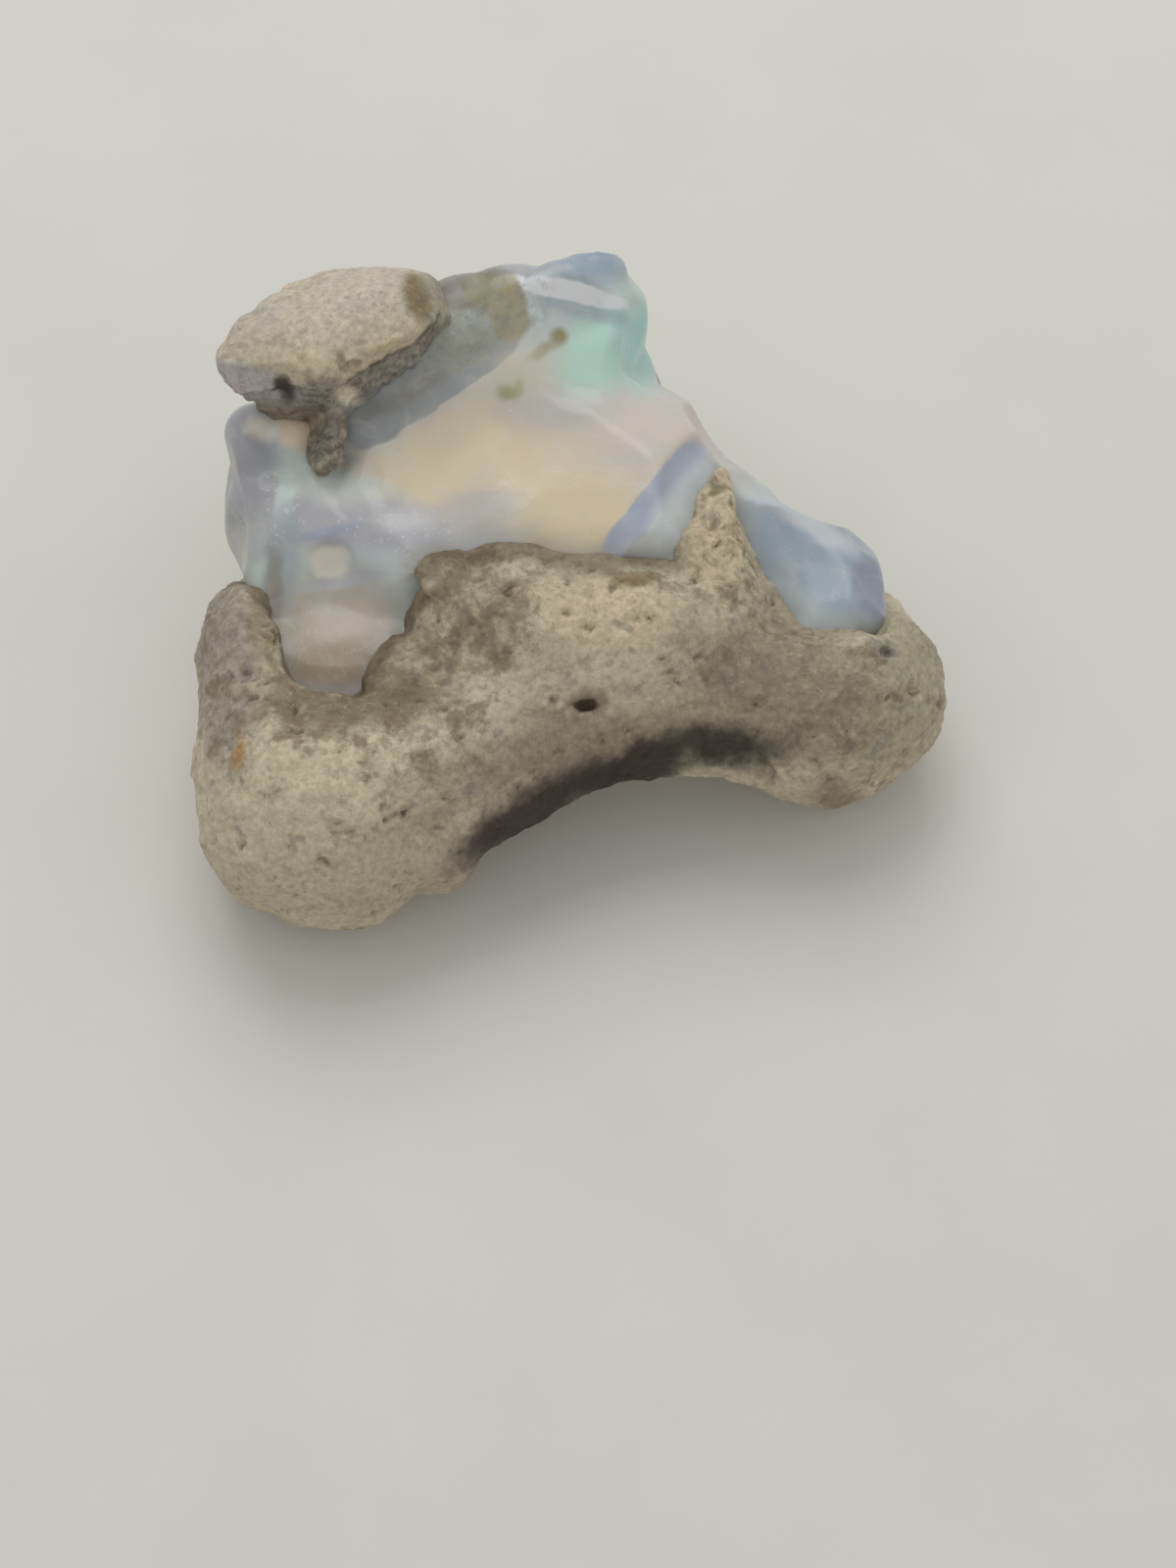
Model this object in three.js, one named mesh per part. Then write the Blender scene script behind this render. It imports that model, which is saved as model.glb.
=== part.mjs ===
// A rough precious opal still in its host rock: a glassy seam of opal lying on a lump of pale volcanic
// tuff, with a smaller crust of the same tuff left on its upper left. Millimetres, +Z up, and the front
// of the stone faces -Y. The stone rests on a broken flat under the host rock.
//
// Each body is a rounded field of lumps: a number at every point of space, below zero inside the body.
// Lumps melt into one another, scoops are taken out of them, and a net of quads is drawn over the zero.
import * as THREE from "three";

// Driving dimensions
const ROCK_CELL = 0.8; // mesh size on the host rock
const OPAL_CELL = 0.78; // mesh size on the opal
const CRUST_CELL = 0.64; // mesh size on the small crust
const SEAT_GAP = 0.3; // clear space between two bodies that touch in the real stone
const EDGE_WEAR = 0.3; // how far the edges along that space are worn round
const REST_HEIGHT = 0; // the broken flat that the stone rests on
const ROCK_GRAIN = 0.34; // height of the tuff's lumpy relief
const CRUST_GRAIN = 0.17; // the same on the small crust
const GRAIN_WAVES = [3.1, 1.7]; // wavelengths of that relief
const OPAL_RIPPLE = 0.13; // height of the ripples on the opal's broken faces
const RIPPLE_WAVE = 2.6; // their wavelength
const ROCK_MELT = 1.6; // how widely the rock's lumps run into one another
const OPAL_MELT = 1.2; // the same for the opal
const RIM_MELT = 1.0; // the same for the rim and the crust
const BREAK_EDGE = 0.3; // rounding of the ridges between broken faces
const HOLLOW_EDGE = 0.6; // rounding of the lip over the hollow under the front
const LOWEST = [-16.1, -16.1, -2.1]; // the box that the nets are drawn in
const HIGHEST = [16, 16, 17];

const DEGREE = Math.PI / 180;

// A lump or a scoop: an ellipsoid at x, y, z with three half-widths, turned about X, Y and Z in degrees.
function lump([x, y, z], [halfX, halfY, halfZ], [turnX, turnY, turnZ] = [0, 0, 0]) {
  const turn = new THREE.Euler(turnX * DEGREE, turnY * DEGREE, turnZ * DEGREE);
  const inward = new THREE.Matrix4().makeRotationFromEuler(turn).invert().elements;
  return (px, py, pz) => {
    const [dx, dy, dz] = [px - x, py - y, pz - z];
    const a = (inward[0] * dx + inward[4] * dy + inward[8] * dz) / halfX;
    const b = (inward[1] * dx + inward[5] * dy + inward[9] * dz) / halfY;
    const c = (inward[2] * dx + inward[6] * dy + inward[10] * dz) / halfZ;
    const reach = Math.hypot(a, b, c);
    const slope = Math.hypot(a / halfX, b / halfY, c / halfZ);
    return slope < 1e-6 ? -Math.min(halfX, halfY, halfZ) : (reach * (reach - 1)) / slope;
  };
}

// Joins two bodies: the smaller of two field values, with the crease rounded over a width.
function melt(a, b, width) {
  const share = Math.max(width - Math.abs(a - b), 0) / width;
  return Math.min(a, b) - (share * share * width) / 4;
}

// Takes one body out of another, with the edge of the cut rounded over a width.
function carve(body, taken, width) {
  return -melt(-body, taken, width);
}

function meltAll(lumps, width) {
  return (x, y, z) => lumps.reduce((sum, one) => melt(sum, one(x, y, z), width), 1e3);
}

function carveAll(body, scoops, width) {
  return (x, y, z) => scoops.reduce((left, one) => carve(left, one(x, y, z), width), body(x, y, z));
}

// A repeatable number from -1 to 1 for each point of a whole-number lattice.
function latticeValue(i, j, k) {
  let n = Math.imul(i, 374761393) ^ Math.imul(j, 668265263) ^ Math.imul(k, 1274126177);
  n = Math.imul(n ^ (n >>> 13), 1103515245);
  return ((n ^ (n >>> 16)) & 0xffff) / 32767.5 - 1;
}

// Smooth relief from -1 to 1 with the given wavelength.
function relief(x, y, z, wavelength) {
  const [u, v, w] = [x / wavelength, y / wavelength, z / wavelength];
  const [i, j, k] = [Math.floor(u), Math.floor(v), Math.floor(w)];
  const ease = (t) => t * t * (3 - 2 * t);
  const [a, b, c] = [ease(u - i), ease(v - j), ease(w - k)];
  let sum = 0;
  for (const [di, wi] of [[0, 1 - a], [1, a]])
    for (const [dj, wj] of [[0, 1 - b], [1, b]])
      for (const [dk, wk] of [[0, 1 - c], [1, c]])
        sum += wi * wj * wk * latticeValue(i + di, j + dj, k + dk);
  return sum;
}

// Tuff breaks lumpy: a broad relief with a finer one on it.
function tuffRelief(x, y, z) {
  const [broad, fine] = GRAIN_WAVES;
  return 0.7 * relief(x, y, z, broad) + 0.5 * relief(x, y, z + 50, fine);
}

// The tuff in front of the opal: a rim along its lower edge, and a tongue that climbs over it.
const rimLumps = meltAll(
  [
    lump([-2.4, -1.3, 5.8], [3.2, 2.6, 3.4], [12, 0, 2]), // rim, left half
    lump([2.2, -1.6, 5.5], [3.9, 2.6, 3.4], [12, 0, -3]), // rim, right half
    lump([5.5, -1.3, 5.4], [1.9, 2.1, 2.3], [12, 0, -20]), // foot of the tongue
    lump([5.05, 0.9, 6.6], [0.85, 2.3, 1.9], [14, 0, 0]), // tongue
    lump([8.6, -3.4, 4.2], [3.8, 2.2, 2.6], [0, 0, -8]), // shelf below the blue hump
  ],
  RIM_MELT,
);

const hostLumps = meltAll(
  [
    lump([-8.2, -7.1, 3.8], [4.4, 4.1, 4.3]), // lower left lobe, nearest the front
    lump([-10.5, -2.2, 3.6], [2.2, 4.4, 4.6]), // left wall
    lump([-6.6, -1.6, 2.2], [4.6, 4.4, 3.4]), // floor under the pool
    lump([-3.4, -5.3, 4.4], [4.2, 3.3, 3], [0, 0, 25]), // slope between the lobe and the middle
    lump([1.5, -2.6, 4.4], [6.4, 3.8, 3.4]), // middle
    lump([8.4, -2.9, 3.3], [4, 3.7, 3.9], [0, 0, 8]), // right end
    lump([10.6, -1.4, 3.7], [1.8, 1.9, 2.6]), // shoulder beside the blue hump
    lump([-2.4, 5.2, 3], [9, 7.4, 5.2]), // back, round the opal
    lump([5, 2, 2.6], [7, 5, 4.6], [0, 0, -28]), // back right
  ],
  ROCK_MELT,
);

// The stone's broken sides, where tuff and opal are cut off flush with each other.
const stoneBreaks = [
  lump([13.1, 11, 6], [10, 8.8, 14]), // right side of the back
  lump([-6, 39.4, 10.5], [30, 30, 30]), // back
  lump([-17.5, 10, 4], [9, 8, 12]), // left corner of the back
];

// The hollow under the front, between the two feet.
const frontHollow = lump([3, -6.4, -0.6], [5.4, 4.8, 4]);

const opalLumps = meltAll(
  [
    lump([-2.5, 3.4, 6.6], [7.2, 5.6, 4]), // main face
    lump([-4.6, 8.4, 8], [5, 3.4, 3]), // back ridge
    lump([-0.4, 9.3, 8.8], [3.2, 3.6, 3.3]), // knob
    lump([-10, 2.9, 6.9], [2.2, 2.6, 2.3]), // left lobe
    lump([-8, -1.1, 5.9], [2.5, 3.4, 2.4]), // pool at the lower left
    lump([3.2, 3.2, 6.2], [3.8, 4.8, 3.2]), // shoulder to the right
    lump([6.2, 2.4, 5.9], [2.6, 2.8, 2.6]), // saddle between the shoulder and the hump
    lump([8.1, 0.4, 4.9], [2.9, 3.2, 2.7]), // blue hump at the right
  ],
  OPAL_MELT,
);

// The opal broke as glass does, in shallow curved scoops.
const opalFaces = [
  lump([-1.5, -2.4, 24], [17, 17, 15.3]), // main face
  lump([8.3, 0.2, 13.6], [6.8, 6.8, 6.8]), // wedge to the right of the blue ridge
  lump([-8.6, -3.5, 11.8], [5, 5, 5]), // pool at the lower left
  lump([2.9, 4.6, 14.4], [4, 5, 4]), // front of the knob
];

const crustLumps = meltAll(
  [
    lump([-9.1, 5.4, 12], [2.9, 2, 1.5], [0, 0, 10]), // left end of the cap
    lump([-6.5, 6.4, 12.1], [2.6, 2.1, 1.6], [0, 0, 22]), // right end of the cap
    lump([-8.1, 6.2, 10.2], [2.8, 1.5, 2], [0, 0, 18]), // dark wall under it
    lump([-7.8, 8.4, 9.8], [2.8, 2.1, 2.5], [0, 0, 12]), // back of the wall
    lump([-4.1, 9, 10.9], [2.4, 1.4, 0.9], [0, 0, 4]), // thin stretch along the back edge
    lump([-8.3, 3.7, 9.6], [0.6, 1.3, 0.9], [0, 0, -8]), // drip that runs down the opal
  ],
  RIM_MELT,
);

const hostWhole = (x, y, z) => melt(hostLumps(x, y, z), rimLumps(x, y, z), RIM_MELT);
const hostHollowed = carveAll(hostWhole, [frontHollow], HOLLOW_EDGE);
const hostBroken = carveAll(hostHollowed, stoneBreaks, BREAK_EDGE);
const opalBroken = carveAll(opalLumps, [...opalFaces, ...stoneBreaks], BREAK_EDGE);
const crustBroken = carveAll(crustLumps, stoneBreaks, BREAK_EDGE);

// Two bodies that touch in the real stone keep the seat gap, and their edges there are a little worn.
function seat(body, neighbour) {
  return carve(body, neighbour - SEAT_GAP, EDGE_WEAR);
}

function crustField(x, y, z) {
  return crustBroken(x, y, z) + CRUST_GRAIN * tuffRelief(x, y, z);
}

function opalField(x, y, z) {
  const rim = rimLumps(x, y, z) + ROCK_GRAIN * tuffRelief(x, y, z);
  const rippled = opalBroken(x, y, z) + OPAL_RIPPLE * relief(x, y, z, RIPPLE_WAVE);
  return seat(seat(rippled, rim), crustField(x, y, z));
}

function hostField(x, y, z) {
  const rough = hostBroken(x, y, z) + ROCK_GRAIN * tuffRelief(x, y, z);
  return Math.max(seat(rough, opalField(x, y, z)), REST_HEIGHT - z);
}

// A cell's eight corners, numbered so that bits 1, 2 and 4 are the steps along X, Y and Z.
const CORNERS = [0, 1, 2, 3, 4, 5, 6, 7].map((n) => [n & 1, (n >> 1) & 1, n >> 2]);
const CORNER_CLEARANCE = 0.08; // the surface keeps this share of a cell away from every corner

// The field's values at the corners of a lattice of cells.
function sample(field, cell) {
  const size = LOWEST.map((start, axis) => Math.ceil((HIGHEST[axis] - start) / cell) + 1);
  const at = (i, j, k) => (k * size[1] + j) * size[0] + i;
  const value = new Float64Array(size[0] * size[1] * size[2]);
  const least = CORNER_CLEARANCE * cell;
  for (let k = 0; k < size[2]; k++)
    for (let j = 0; j < size[1]; j++)
      for (let i = 0; i < size[0]; i++) {
        const found = field(LOWEST[0] + i * cell, LOWEST[1] + j * cell, LOWEST[2] + k * cell);
        value[at(i, j, k)] = found < 0 ? Math.min(found, -least) : Math.max(found, least);
      }
  return { size, at, value, least };
}

// True if the corners that are marked hang together along the cell's edges.
function inOneGroup(marked) {
  if (!marked.includes(true)) return true;
  const reached = [marked.indexOf(true)];
  for (const n of reached)
    for (const bit of [1, 2, 4])
      if (marked[n ^ bit] && !reached.includes(n ^ bit)) reached.push(n ^ bit);
  return reached.length === marked.filter(Boolean).length;
}

// True if some face of the cell is inside the body at two opposite corners and outside at the others.
function hasCrossedFace(inside) {
  return [1, 2, 4].some((bit) =>
    [0, bit].some((side) => {
      const [a, b, c, d] = [...inside.keys()].filter((n) => (n & bit) === side);
      return inside[a] === inside[d] && inside[b] === inside[c] && inside[a] !== inside[b];
    }),
  );
}

// Pares the body wherever two sheets of its surface would meet along an edge or at a point.
function parePinches({ size, at, value, least }) {
  let pared = true;
  while (pared) {
    pared = false;
    for (let k = 0; k < size[2] - 1; k++)
      for (let j = 0; j < size[1] - 1; j++)
        for (let i = 0; i < size[0] - 1; i++) {
          const corners = CORNERS.map(([a, b, c]) => at(i + a, j + b, k + c));
          const inside = corners.map((n) => value[n] < 0);
          const outside = inside.map((one) => !one);
          if (!hasCrossedFace(inside) && inOneGroup(inside) && inOneGroup(outside)) continue;
          const thinnest = corners.filter((n) => value[n] < 0).sort((a, b) => value[b] - value[a])[0];
          value[thinnest] = least;
          pared = true;
        }
  }
}

// One vertex in each cell that the surface passes through, and one quad round each crossed cell edge.
function netOver(field, cell) {
  const lattice = sample(field, cell);
  parePinches(lattice);
  const { size, at, value } = lattice;
  const positions = [];
  const vertexOf = new Map();

  // The middle of the points where the surface crosses the cell's edges.
  function cellPoint(i, j, k) {
    const sum = [0, 0, 0];
    let crossings = 0;
    for (let axis = 0; axis < 3; axis++)
      for (const a of [0, 1])
        for (const b of [0, 1]) {
          const start = [i, j, k];
          start[(axis + 1) % 3] += a;
          start[(axis + 2) % 3] += b;
          const end = [...start];
          end[axis] += 1;
          const [v0, v1] = [value[at(...start)], value[at(...end)]];
          if (v0 < 0 === v1 < 0) continue;
          start[axis] += v0 / (v0 - v1);
          for (let n = 0; n < 3; n++) sum[n] += start[n];
          crossings++;
        }
    return sum.map((total, n) => LOWEST[n] + (total / crossings) * cell);
  }

  function vertex(i, j, k) {
    const key = at(i, j, k);
    if (!vertexOf.has(key)) {
      vertexOf.set(key, positions.length / 3);
      positions.push(...cellPoint(i, j, k));
    }
    return vertexOf.get(key);
  }

  const index = [];
  for (let k = 1; k < size[2] - 1; k++)
    for (let j = 1; j < size[1] - 1; j++)
      for (let i = 1; i < size[0] - 1; i++)
        for (let axis = 0; axis < 3; axis++) {
          const next = [i, j, k];
          next[axis] += 1;
          const inside = value[at(i, j, k)] < 0;
          if (inside === value[at(...next)] < 0) continue;
          const corner = (a, b) => {
            const c = [i, j, k];
            c[(axis + 1) % 3] -= a;
            c[(axis + 2) % 3] -= b;
            return vertex(...c);
          };
          const quad = [corner(1, 1), corner(0, 1), corner(0, 0), corner(1, 0)];
          if (!inside) quad.reverse();
          index.push(quad[0], quad[1], quad[2], quad[0], quad[2], quad[3]);
        }
  const net = new THREE.BufferGeometry();
  net.setAttribute("position", new THREE.Float32BufferAttribute(positions, 3));
  net.setIndex(index);
  net.computeVertexNormals();
  return net;
}

function piece(name, geometry, colour, roughness) {
  const finish = new THREE.MeshStandardMaterial({ color: colour, roughness, metalness: 0 });
  const mesh = new THREE.Mesh(geometry, finish);
  mesh.name = name;
  return mesh;
}

const stone = new THREE.Group();
stone.add(piece("host_rock", netOver(hostField, ROCK_CELL), 0x968a78, 0.95));
stone.add(piece("opal", netOver(opalField, OPAL_CELL), 0xbcb3ac, 0.2));
stone.add(piece("rock_crust", netOver(crustField, CRUST_CELL), 0xb0a999, 0.95));

// The origin is in the middle of the footprint, at the resting height.
const box = new THREE.Box3().setFromObject(stone);
const middle = box.getCenter(new THREE.Vector3());
stone.position.set(-middle.x, -middle.y, -box.min.z);

export default stone;
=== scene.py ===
"""Dresses a piece of rough precious opal, still in its host rock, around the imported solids."""

import math

import bpy
import numpy as np
from mathutils import Matrix, Vector
from mathutils.bvhtree import BVHTree


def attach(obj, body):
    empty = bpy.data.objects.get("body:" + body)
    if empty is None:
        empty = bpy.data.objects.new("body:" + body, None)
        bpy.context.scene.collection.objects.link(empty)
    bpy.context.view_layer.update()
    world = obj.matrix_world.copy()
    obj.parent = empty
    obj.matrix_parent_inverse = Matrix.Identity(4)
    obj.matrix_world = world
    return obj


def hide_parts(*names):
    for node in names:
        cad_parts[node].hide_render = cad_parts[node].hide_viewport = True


bl_info = {
    "name": "Rough Opal in Host Rock",
    "version": (1, 0, 0),
    "blender": (4, 5, 0),
    "location": "View3D > Sidebar > Opal",
    "description": "Models a rough precious opal with the tuff that it grew in",
    "category": "Add Mesh",
}

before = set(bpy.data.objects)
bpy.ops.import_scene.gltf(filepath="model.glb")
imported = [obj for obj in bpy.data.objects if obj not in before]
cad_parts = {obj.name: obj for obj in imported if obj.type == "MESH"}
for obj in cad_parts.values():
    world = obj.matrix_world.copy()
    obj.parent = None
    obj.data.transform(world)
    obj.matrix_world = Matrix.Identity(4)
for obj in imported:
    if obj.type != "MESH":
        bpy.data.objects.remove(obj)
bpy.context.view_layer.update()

MM = 0.001
BODY = "root"
NUMBER = "NodeSocketFloat"
VECTOR = "NodeSocketVector"

# The front of the stone is described as a viewer sees it who looks down on it at this angle.
VIEW_TILT = math.radians(60)

# Places on the stone are in millimetres, with the origin under its middle, +X right and -Y towards the
# viewer. Each hollow or swelling is an ellipsoid with a name, a place, half sizes and a turn in degrees.
ROCK_HOLLOWS = (
    ("black pit", (0.5, -5.2, 6.9), (0.52, 0.3, 0.95), (28, 0, 0)),
    ("pit by the hump", (10.6, -3.1, 6.9), (0.34, 0.26, 0.8), (28, 0, 0)),
    ("groove below the pool", (-7.2, -4.9, 7.9), (2.4, 0.4, 0.7), (0, 0, 6)),
    ("crease by the left wall", (-10.2, -5.4, 8.2), (0.3, 2.0, 0.7), (0, 0, -10)),
    ("bay in the lip", (5.5, -6.3, 5.0), (1.5, 0.8, 0.8), (0, 20, 0)),
    ("nick in the rim", (-3.2, -2.2, 9.2), (0.5, 0.35, 0.6), (0, 0, 30)),
    ("hollow on the back", (-4.2, 11.2, 4.6), (1.3, 0.9, 0.9), (0, 20, 0)),
    ("hollow on the right side", (10.0, 3.2, 3.2), (1.4, 0.9, 0.9), (0, 0, 20)),
    ("hollow at the left end", (-12.6, -7.0, 3.2), (0.7, 1.2, 0.8), (20, 0, 0)),
    ("low rim behind the knob", (3.4, 9.5, 6.0), (2.05, 1.4, 1.45), (0, 0, -10)),
)
CAP_HOLLOWS = (
    ("square pit in the rim", (-9.5, 3.5, 12.4), (0.3, 0.8, 0.42)),
    ("crack in the rim", (-7.45, 4.0, 13.0), (0.13, 0.9, 0.6), (0, 0, 20)),
    ("side of the crack", (-7.2, 4.1, 12.7), (0.4, 0.6, 0.35)),
    ("rusty dip", (-4.95, 7.3, 14.0), (0.5, 1.7, 0.65), (0, 0, 14)),
    ("bite in the left end", (-10.7, 3.5, 12.2), (0.5, 0.6, 0.3)),
)
ROCK_SWELLS = (
    ("tip of the tongue", (5.0, 1.6, 8.1), (0.56, 1.5, 0.55), (-8, 0, -4)),
    ("end of the tongue", (5.05, 2.75, 8.1), (0.36, 0.85, 0.45), (-8, 0, -4)),
    ("left foot of the tongue", (4.35, 0.15, 8.05), (0.6, 1.3, 0.55), (0, 0, -24)),
    ("right bank of the pool", (-5.7, -3.9, 6.75), (1.1, 1.5, 0.75), (0, 0, -25)),
    ("right side of the front lobe", (-4.6, -8.6, 3.4), (1.6, 1.5, 2.0), (0, 0, 20)),
    ("corner of the rim", (-4.3, -0.95, 8.35), (1.0, 0.85, 0.5), (0, 0, 25)),
)
OPAL_SWELLS = (
    ("shoulder under the wall", (-6.9, 4.4, 9.15), (1.8, 1.3, 1.0), (0, 0, 10)),
    ("shoulder left of the drip", (-9.4, 3.8, 9.15), (0.95, 1.0, 0.95)),
    ("left end under the crust", (-10.6, 4.4, 8.85), (1.2, 1.15, 0.95)),
    ("below the drip", (-8.3, 2.5, 8.35), (1.3, 1.2, 0.85)),
    ("under the end of the crust", (-3.6, 7.9, 10.65), (2.0, 1.7, 1.15), (0, 0, 20)),
    ("foot of the wall", (-5.5, 5.9, 9.9), (1.5, 1.15, 0.95), (0, 0, 35)),
    ("back under the crust", (-7.4, 6.5, 9.3), (3.0, 1.7, 1.8), (0, 0, -6)),
    ("back below the crust", (-6.8, 6.7, 7.6), (3.8, 1.6, 2.4), (0, 0, -14)),
    ("upper left of the lobe", (-10.9, 3.6, 8.9), (0.9, 0.95, 0.85)),
    ("top of the knob", (0.6, 9.65, 10.95), (1.35, 0.95, 0.8)),
    ("left of the knob", (-1.9, 8.9, 10.7), (1.8, 1.1, 0.95)),
    ("foot of the knob's right side", (2.2, 8.0, 7.2), (0.82, 1.15, 1.25)),
)
OPAL_HOLLOWS = (
    ("below the left lobe", (-13.0, 0.3, 7.2), (2.0, 2.3, 2.6)),
    ("fall of the right shoulder", (6.9, 6.3, 9.0), (3.2, 3.2, 3.2)),
    ("dip left of the hump", (7.0, 4.4, 8.1), (1.8, 2.0, 1.7)),
    ("slope at the hump's right end", (11.1, 2.6, 7.2), (2.0, 2.0, 1.8)),
)
CRUST_SWELLS = (
    ("body of the cap", (-6.6, 7.3, 11.6), (2.6, 1.8, 1.2), (0, 0, 8)),
    ("neck of the drip", (-7.8, 3.8, 10.35), (0.27, 0.5, 0.4)),
    ("upper lump of the drip", (-7.85, 3.45, 10.15), (0.3, 0.36, 0.34), (0, 0, 20)),
    ("middle lump of the drip", (-8.02, 3.15, 10.0), (0.4, 0.34, 0.38)),
    ("lower lump of the drip", (-8.1, 2.75, 9.9), (0.54, 0.46, 0.46)),
    ("end of the drip", (-8.3, 2.55, 9.8), (0.44, 0.36, 0.38)),
    ("right corner of the cap", (-4.95, 6.8, 11.95), (0.95, 1.05, 0.62), (0, 14, 20)),
    ("upper left of the cap", (-9.35, 6.5, 12.25), (1.35, 1.2, 0.95), (0, 0, 14)),
    ("left shoulder of the cap", (-10.15, 5.9, 11.9), (1.4, 1.3, 0.95), (0, 0, 20)),
)
# The broken wall under the crust's rim: across, then how far back and how high its rim and its foot are.
WALL_X = (-12.5, -11.0, -9.3, -8.0, -6.6, -5.3, -4.8, -4.4, -3.9)
RIM_Y = (5.4, 4.1, 4.0, 3.6, 4.6, 5.3, 5.8, 6.2, 6.7)
RIM_Z = (11.4, 11.5, 12.1, 12.3, 12.4, 12.6, 12.7, 12.7, 12.0)
FOOT_Y = (5.4, 4.5, 4.2, 4.3, 4.9, 5.8, 6.5, 6.9, 7.3)
FOOT_Z = (10.3, 10.3, 10.2, 10.2, 10.2, 10.4, 10.7, 11.1, 11.2)
# The rim stands this far over the top of the wall.
OVERHANG = 0.18
# What hangs down from the wall: across and half width at its end, then the same at its neck.
DRIP = (-8.15, 0.6, -7.8, 0.3)

# Glassy chips: a name, a place, the chip's half width, its depth, and how its face leans off the surface.
OPAL_CHIPS = (
    ("main face", (-0.6, 3.4, 9.9), 4.2, 0.24),
    ("face by the band", (-4.8, 2.6, 9.8), 3.0, 0.12, (-0.15, 0, 0)),
    ("front of the main face", (0.6, 1.0, 9.2), 2.3, 0.14, (0, -0.15, 0)),
    ("knob's front", (0.6, 6.9, 10.8), 1.9, 0.24, (0, -0.15, 0.1)),
    ("knob's right side", (2.3, 8.0, 10.0), 1.6, 0.2, (0.2, 0, 0)),
    ("narrow bright facet", (0.3, 8.25, 11.9), 1.6, 0.12, (0.1, 0, 0.1)),
    ("face right of the stripe", (4.0, 2.0, 8.9), 2.3, 0.3, (0.15, 0.05, 0.1)),
    ("left lobe", (-11.2, 3.0, 8.6), 2.2, 0.16, (-0.15, 0, 0.1)),
    ("face between lobe and ridge", (-8.2, 2.2, 9.1), 1.6, 0.1, (0.15, 0.05, 0)),
    ("face below the ridge", (-6.9, -0.4, 8.8), 2.6, 0.2, (0, -0.15, 0)),
    ("window", (-8.1, -0.4, 8.2), 0.8, 0.22, (0, -0.1, 0.1)),
    ("pool", (-7.8, -2.2, 7.3), 2.0, 0.16, (0, 0, 0.1)),
    ("hump's left face", (6.6, 2.0, 7.5), 1.8, 0.2, (-0.1, 0, 0)),
    ("hump's front", (8.3, -0.2, 7.0), 1.8, 0.2, (0, -0.1, 0)),
    ("hump's right side", (10.2, 0.2, 6.5), 1.5, 0.22, (0.3, 0, 0)),
    ("hump's back", (8.6, 2.4, 6.4), 1.8, 0.25, (0, 0.2, 0)),
    ("back of the main face", (3.4, 6.4, 8.2), 2.0, 0.3, (0.1, 0.2, 0)),
    ("back of the knob", (0.6, 11.0, 9.6), 2.2, 0.25, (0, 0.1, 0)),
    ("back under the crust", (-6.4, 8.6, 8.8), 2.4, 0.3, (0, 0.15, 0)),
    ("left end at the back", (-9.6, 7.6, 8.4), 2.0, 0.25, (-0.1, 0.1, 0)),
)


def select_only(piece):
    """Selects one piece and makes it the active one."""
    if bpy.context.mode != "OBJECT":
        bpy.ops.object.mode_set(mode="OBJECT")
    bpy.ops.object.select_all(action="DESELECT")
    piece.select_set(True)
    bpy.context.view_layer.objects.active = piece


def apply_modifier(piece, kind, **settings):
    """Adds a modifier with these settings to the piece and applies it."""
    select_only(piece)
    modifier = piece.modifiers.new(kind, kind)
    for name, value in settings.items():
        setattr(modifier, name, value)
    bpy.ops.object.modifier_apply(modifier=modifier.name)


def copy_of_node(node, name):
    """A new piece with the CAD node's surface, its loose triangles merged."""
    piece = bpy.data.objects.new(name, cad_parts[node].data.copy())
    bpy.context.scene.collection.objects.link(piece)
    piece.data.materials.clear()
    select_only(piece)
    bpy.ops.object.mode_set(mode="EDIT")
    bpy.ops.mesh.select_all(action="SELECT")
    bpy.ops.mesh.remove_doubles(threshold=0.002 * MM)
    bpy.ops.object.mode_set(mode="OBJECT")
    return piece


def soften(piece, rounds, factor=0.5):
    """Rounds off the facets."""
    apply_modifier(piece, "SMOOTH", factor=factor, iterations=rounds)


def reskin(piece, cell):
    """Gives the piece an even skin of small faces."""
    apply_modifier(piece, "REMESH", mode="VOXEL", voxel_size=cell, use_smooth_shade=True)


def ellipsoid(place, size, turn=(0, 0, 0), segments=32):
    """A closed ellipsoid at a place in millimetres."""
    bpy.ops.object.select_all(action="DESELECT")
    bpy.ops.mesh.primitive_uv_sphere_add(
        segments=segments,
        ring_count=segments // 2,
        radius=MM,
        location=Vector(place) * MM,
        rotation=[math.radians(a) for a in turn],
    )
    blob = bpy.context.active_object
    blob.scale = size
    bpy.ops.object.transform_apply(location=True, rotation=True, scale=True)
    return blob


def join(pieces, name):
    """Joins pieces in one."""
    bpy.ops.object.select_all(action="DESELECT")
    for piece in pieces:
        piece.select_set(True)
    bpy.context.view_layer.objects.active = pieces[0]
    if len(pieces) > 1:
        bpy.ops.object.join()
    pieces[0].name = name
    return pieces[0]


def swell(piece, places):
    """Adds each named swelling; the next new skin joins them with the piece."""
    name = piece.name
    return join([piece] + [ellipsoid(*row) for _, *row in places], name)


def dig(piece, hollows):
    """Cuts each named hollow out of the piece."""
    for _, *row in hollows:
        cutter = ellipsoid(*row)
        apply_modifier(piece, "BOOLEAN", operation="DIFFERENCE", object=cutter, solver="EXACT")
        bpy.data.objects.remove(cutter)


def roughen(piece, texture, depth, middle=0.5, group=""):
    """Moves the surface in and out along a texture."""
    apply_modifier(
        piece,
        "DISPLACE",
        texture=texture,
        strength=depth,
        mid_level=middle,
        vertex_group=group,
        texture_coords="LOCAL",
    )


def clouds(name, size, depth=2, contrast=1.0):
    """Soft lumps of one size."""
    texture = bpy.data.textures.new(name, "CLOUDS")
    texture.noise_scale = size
    texture.noise_depth = depth
    texture.noise_basis = "IMPROVED_PERLIN"
    texture.contrast = contrast
    return texture


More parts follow.
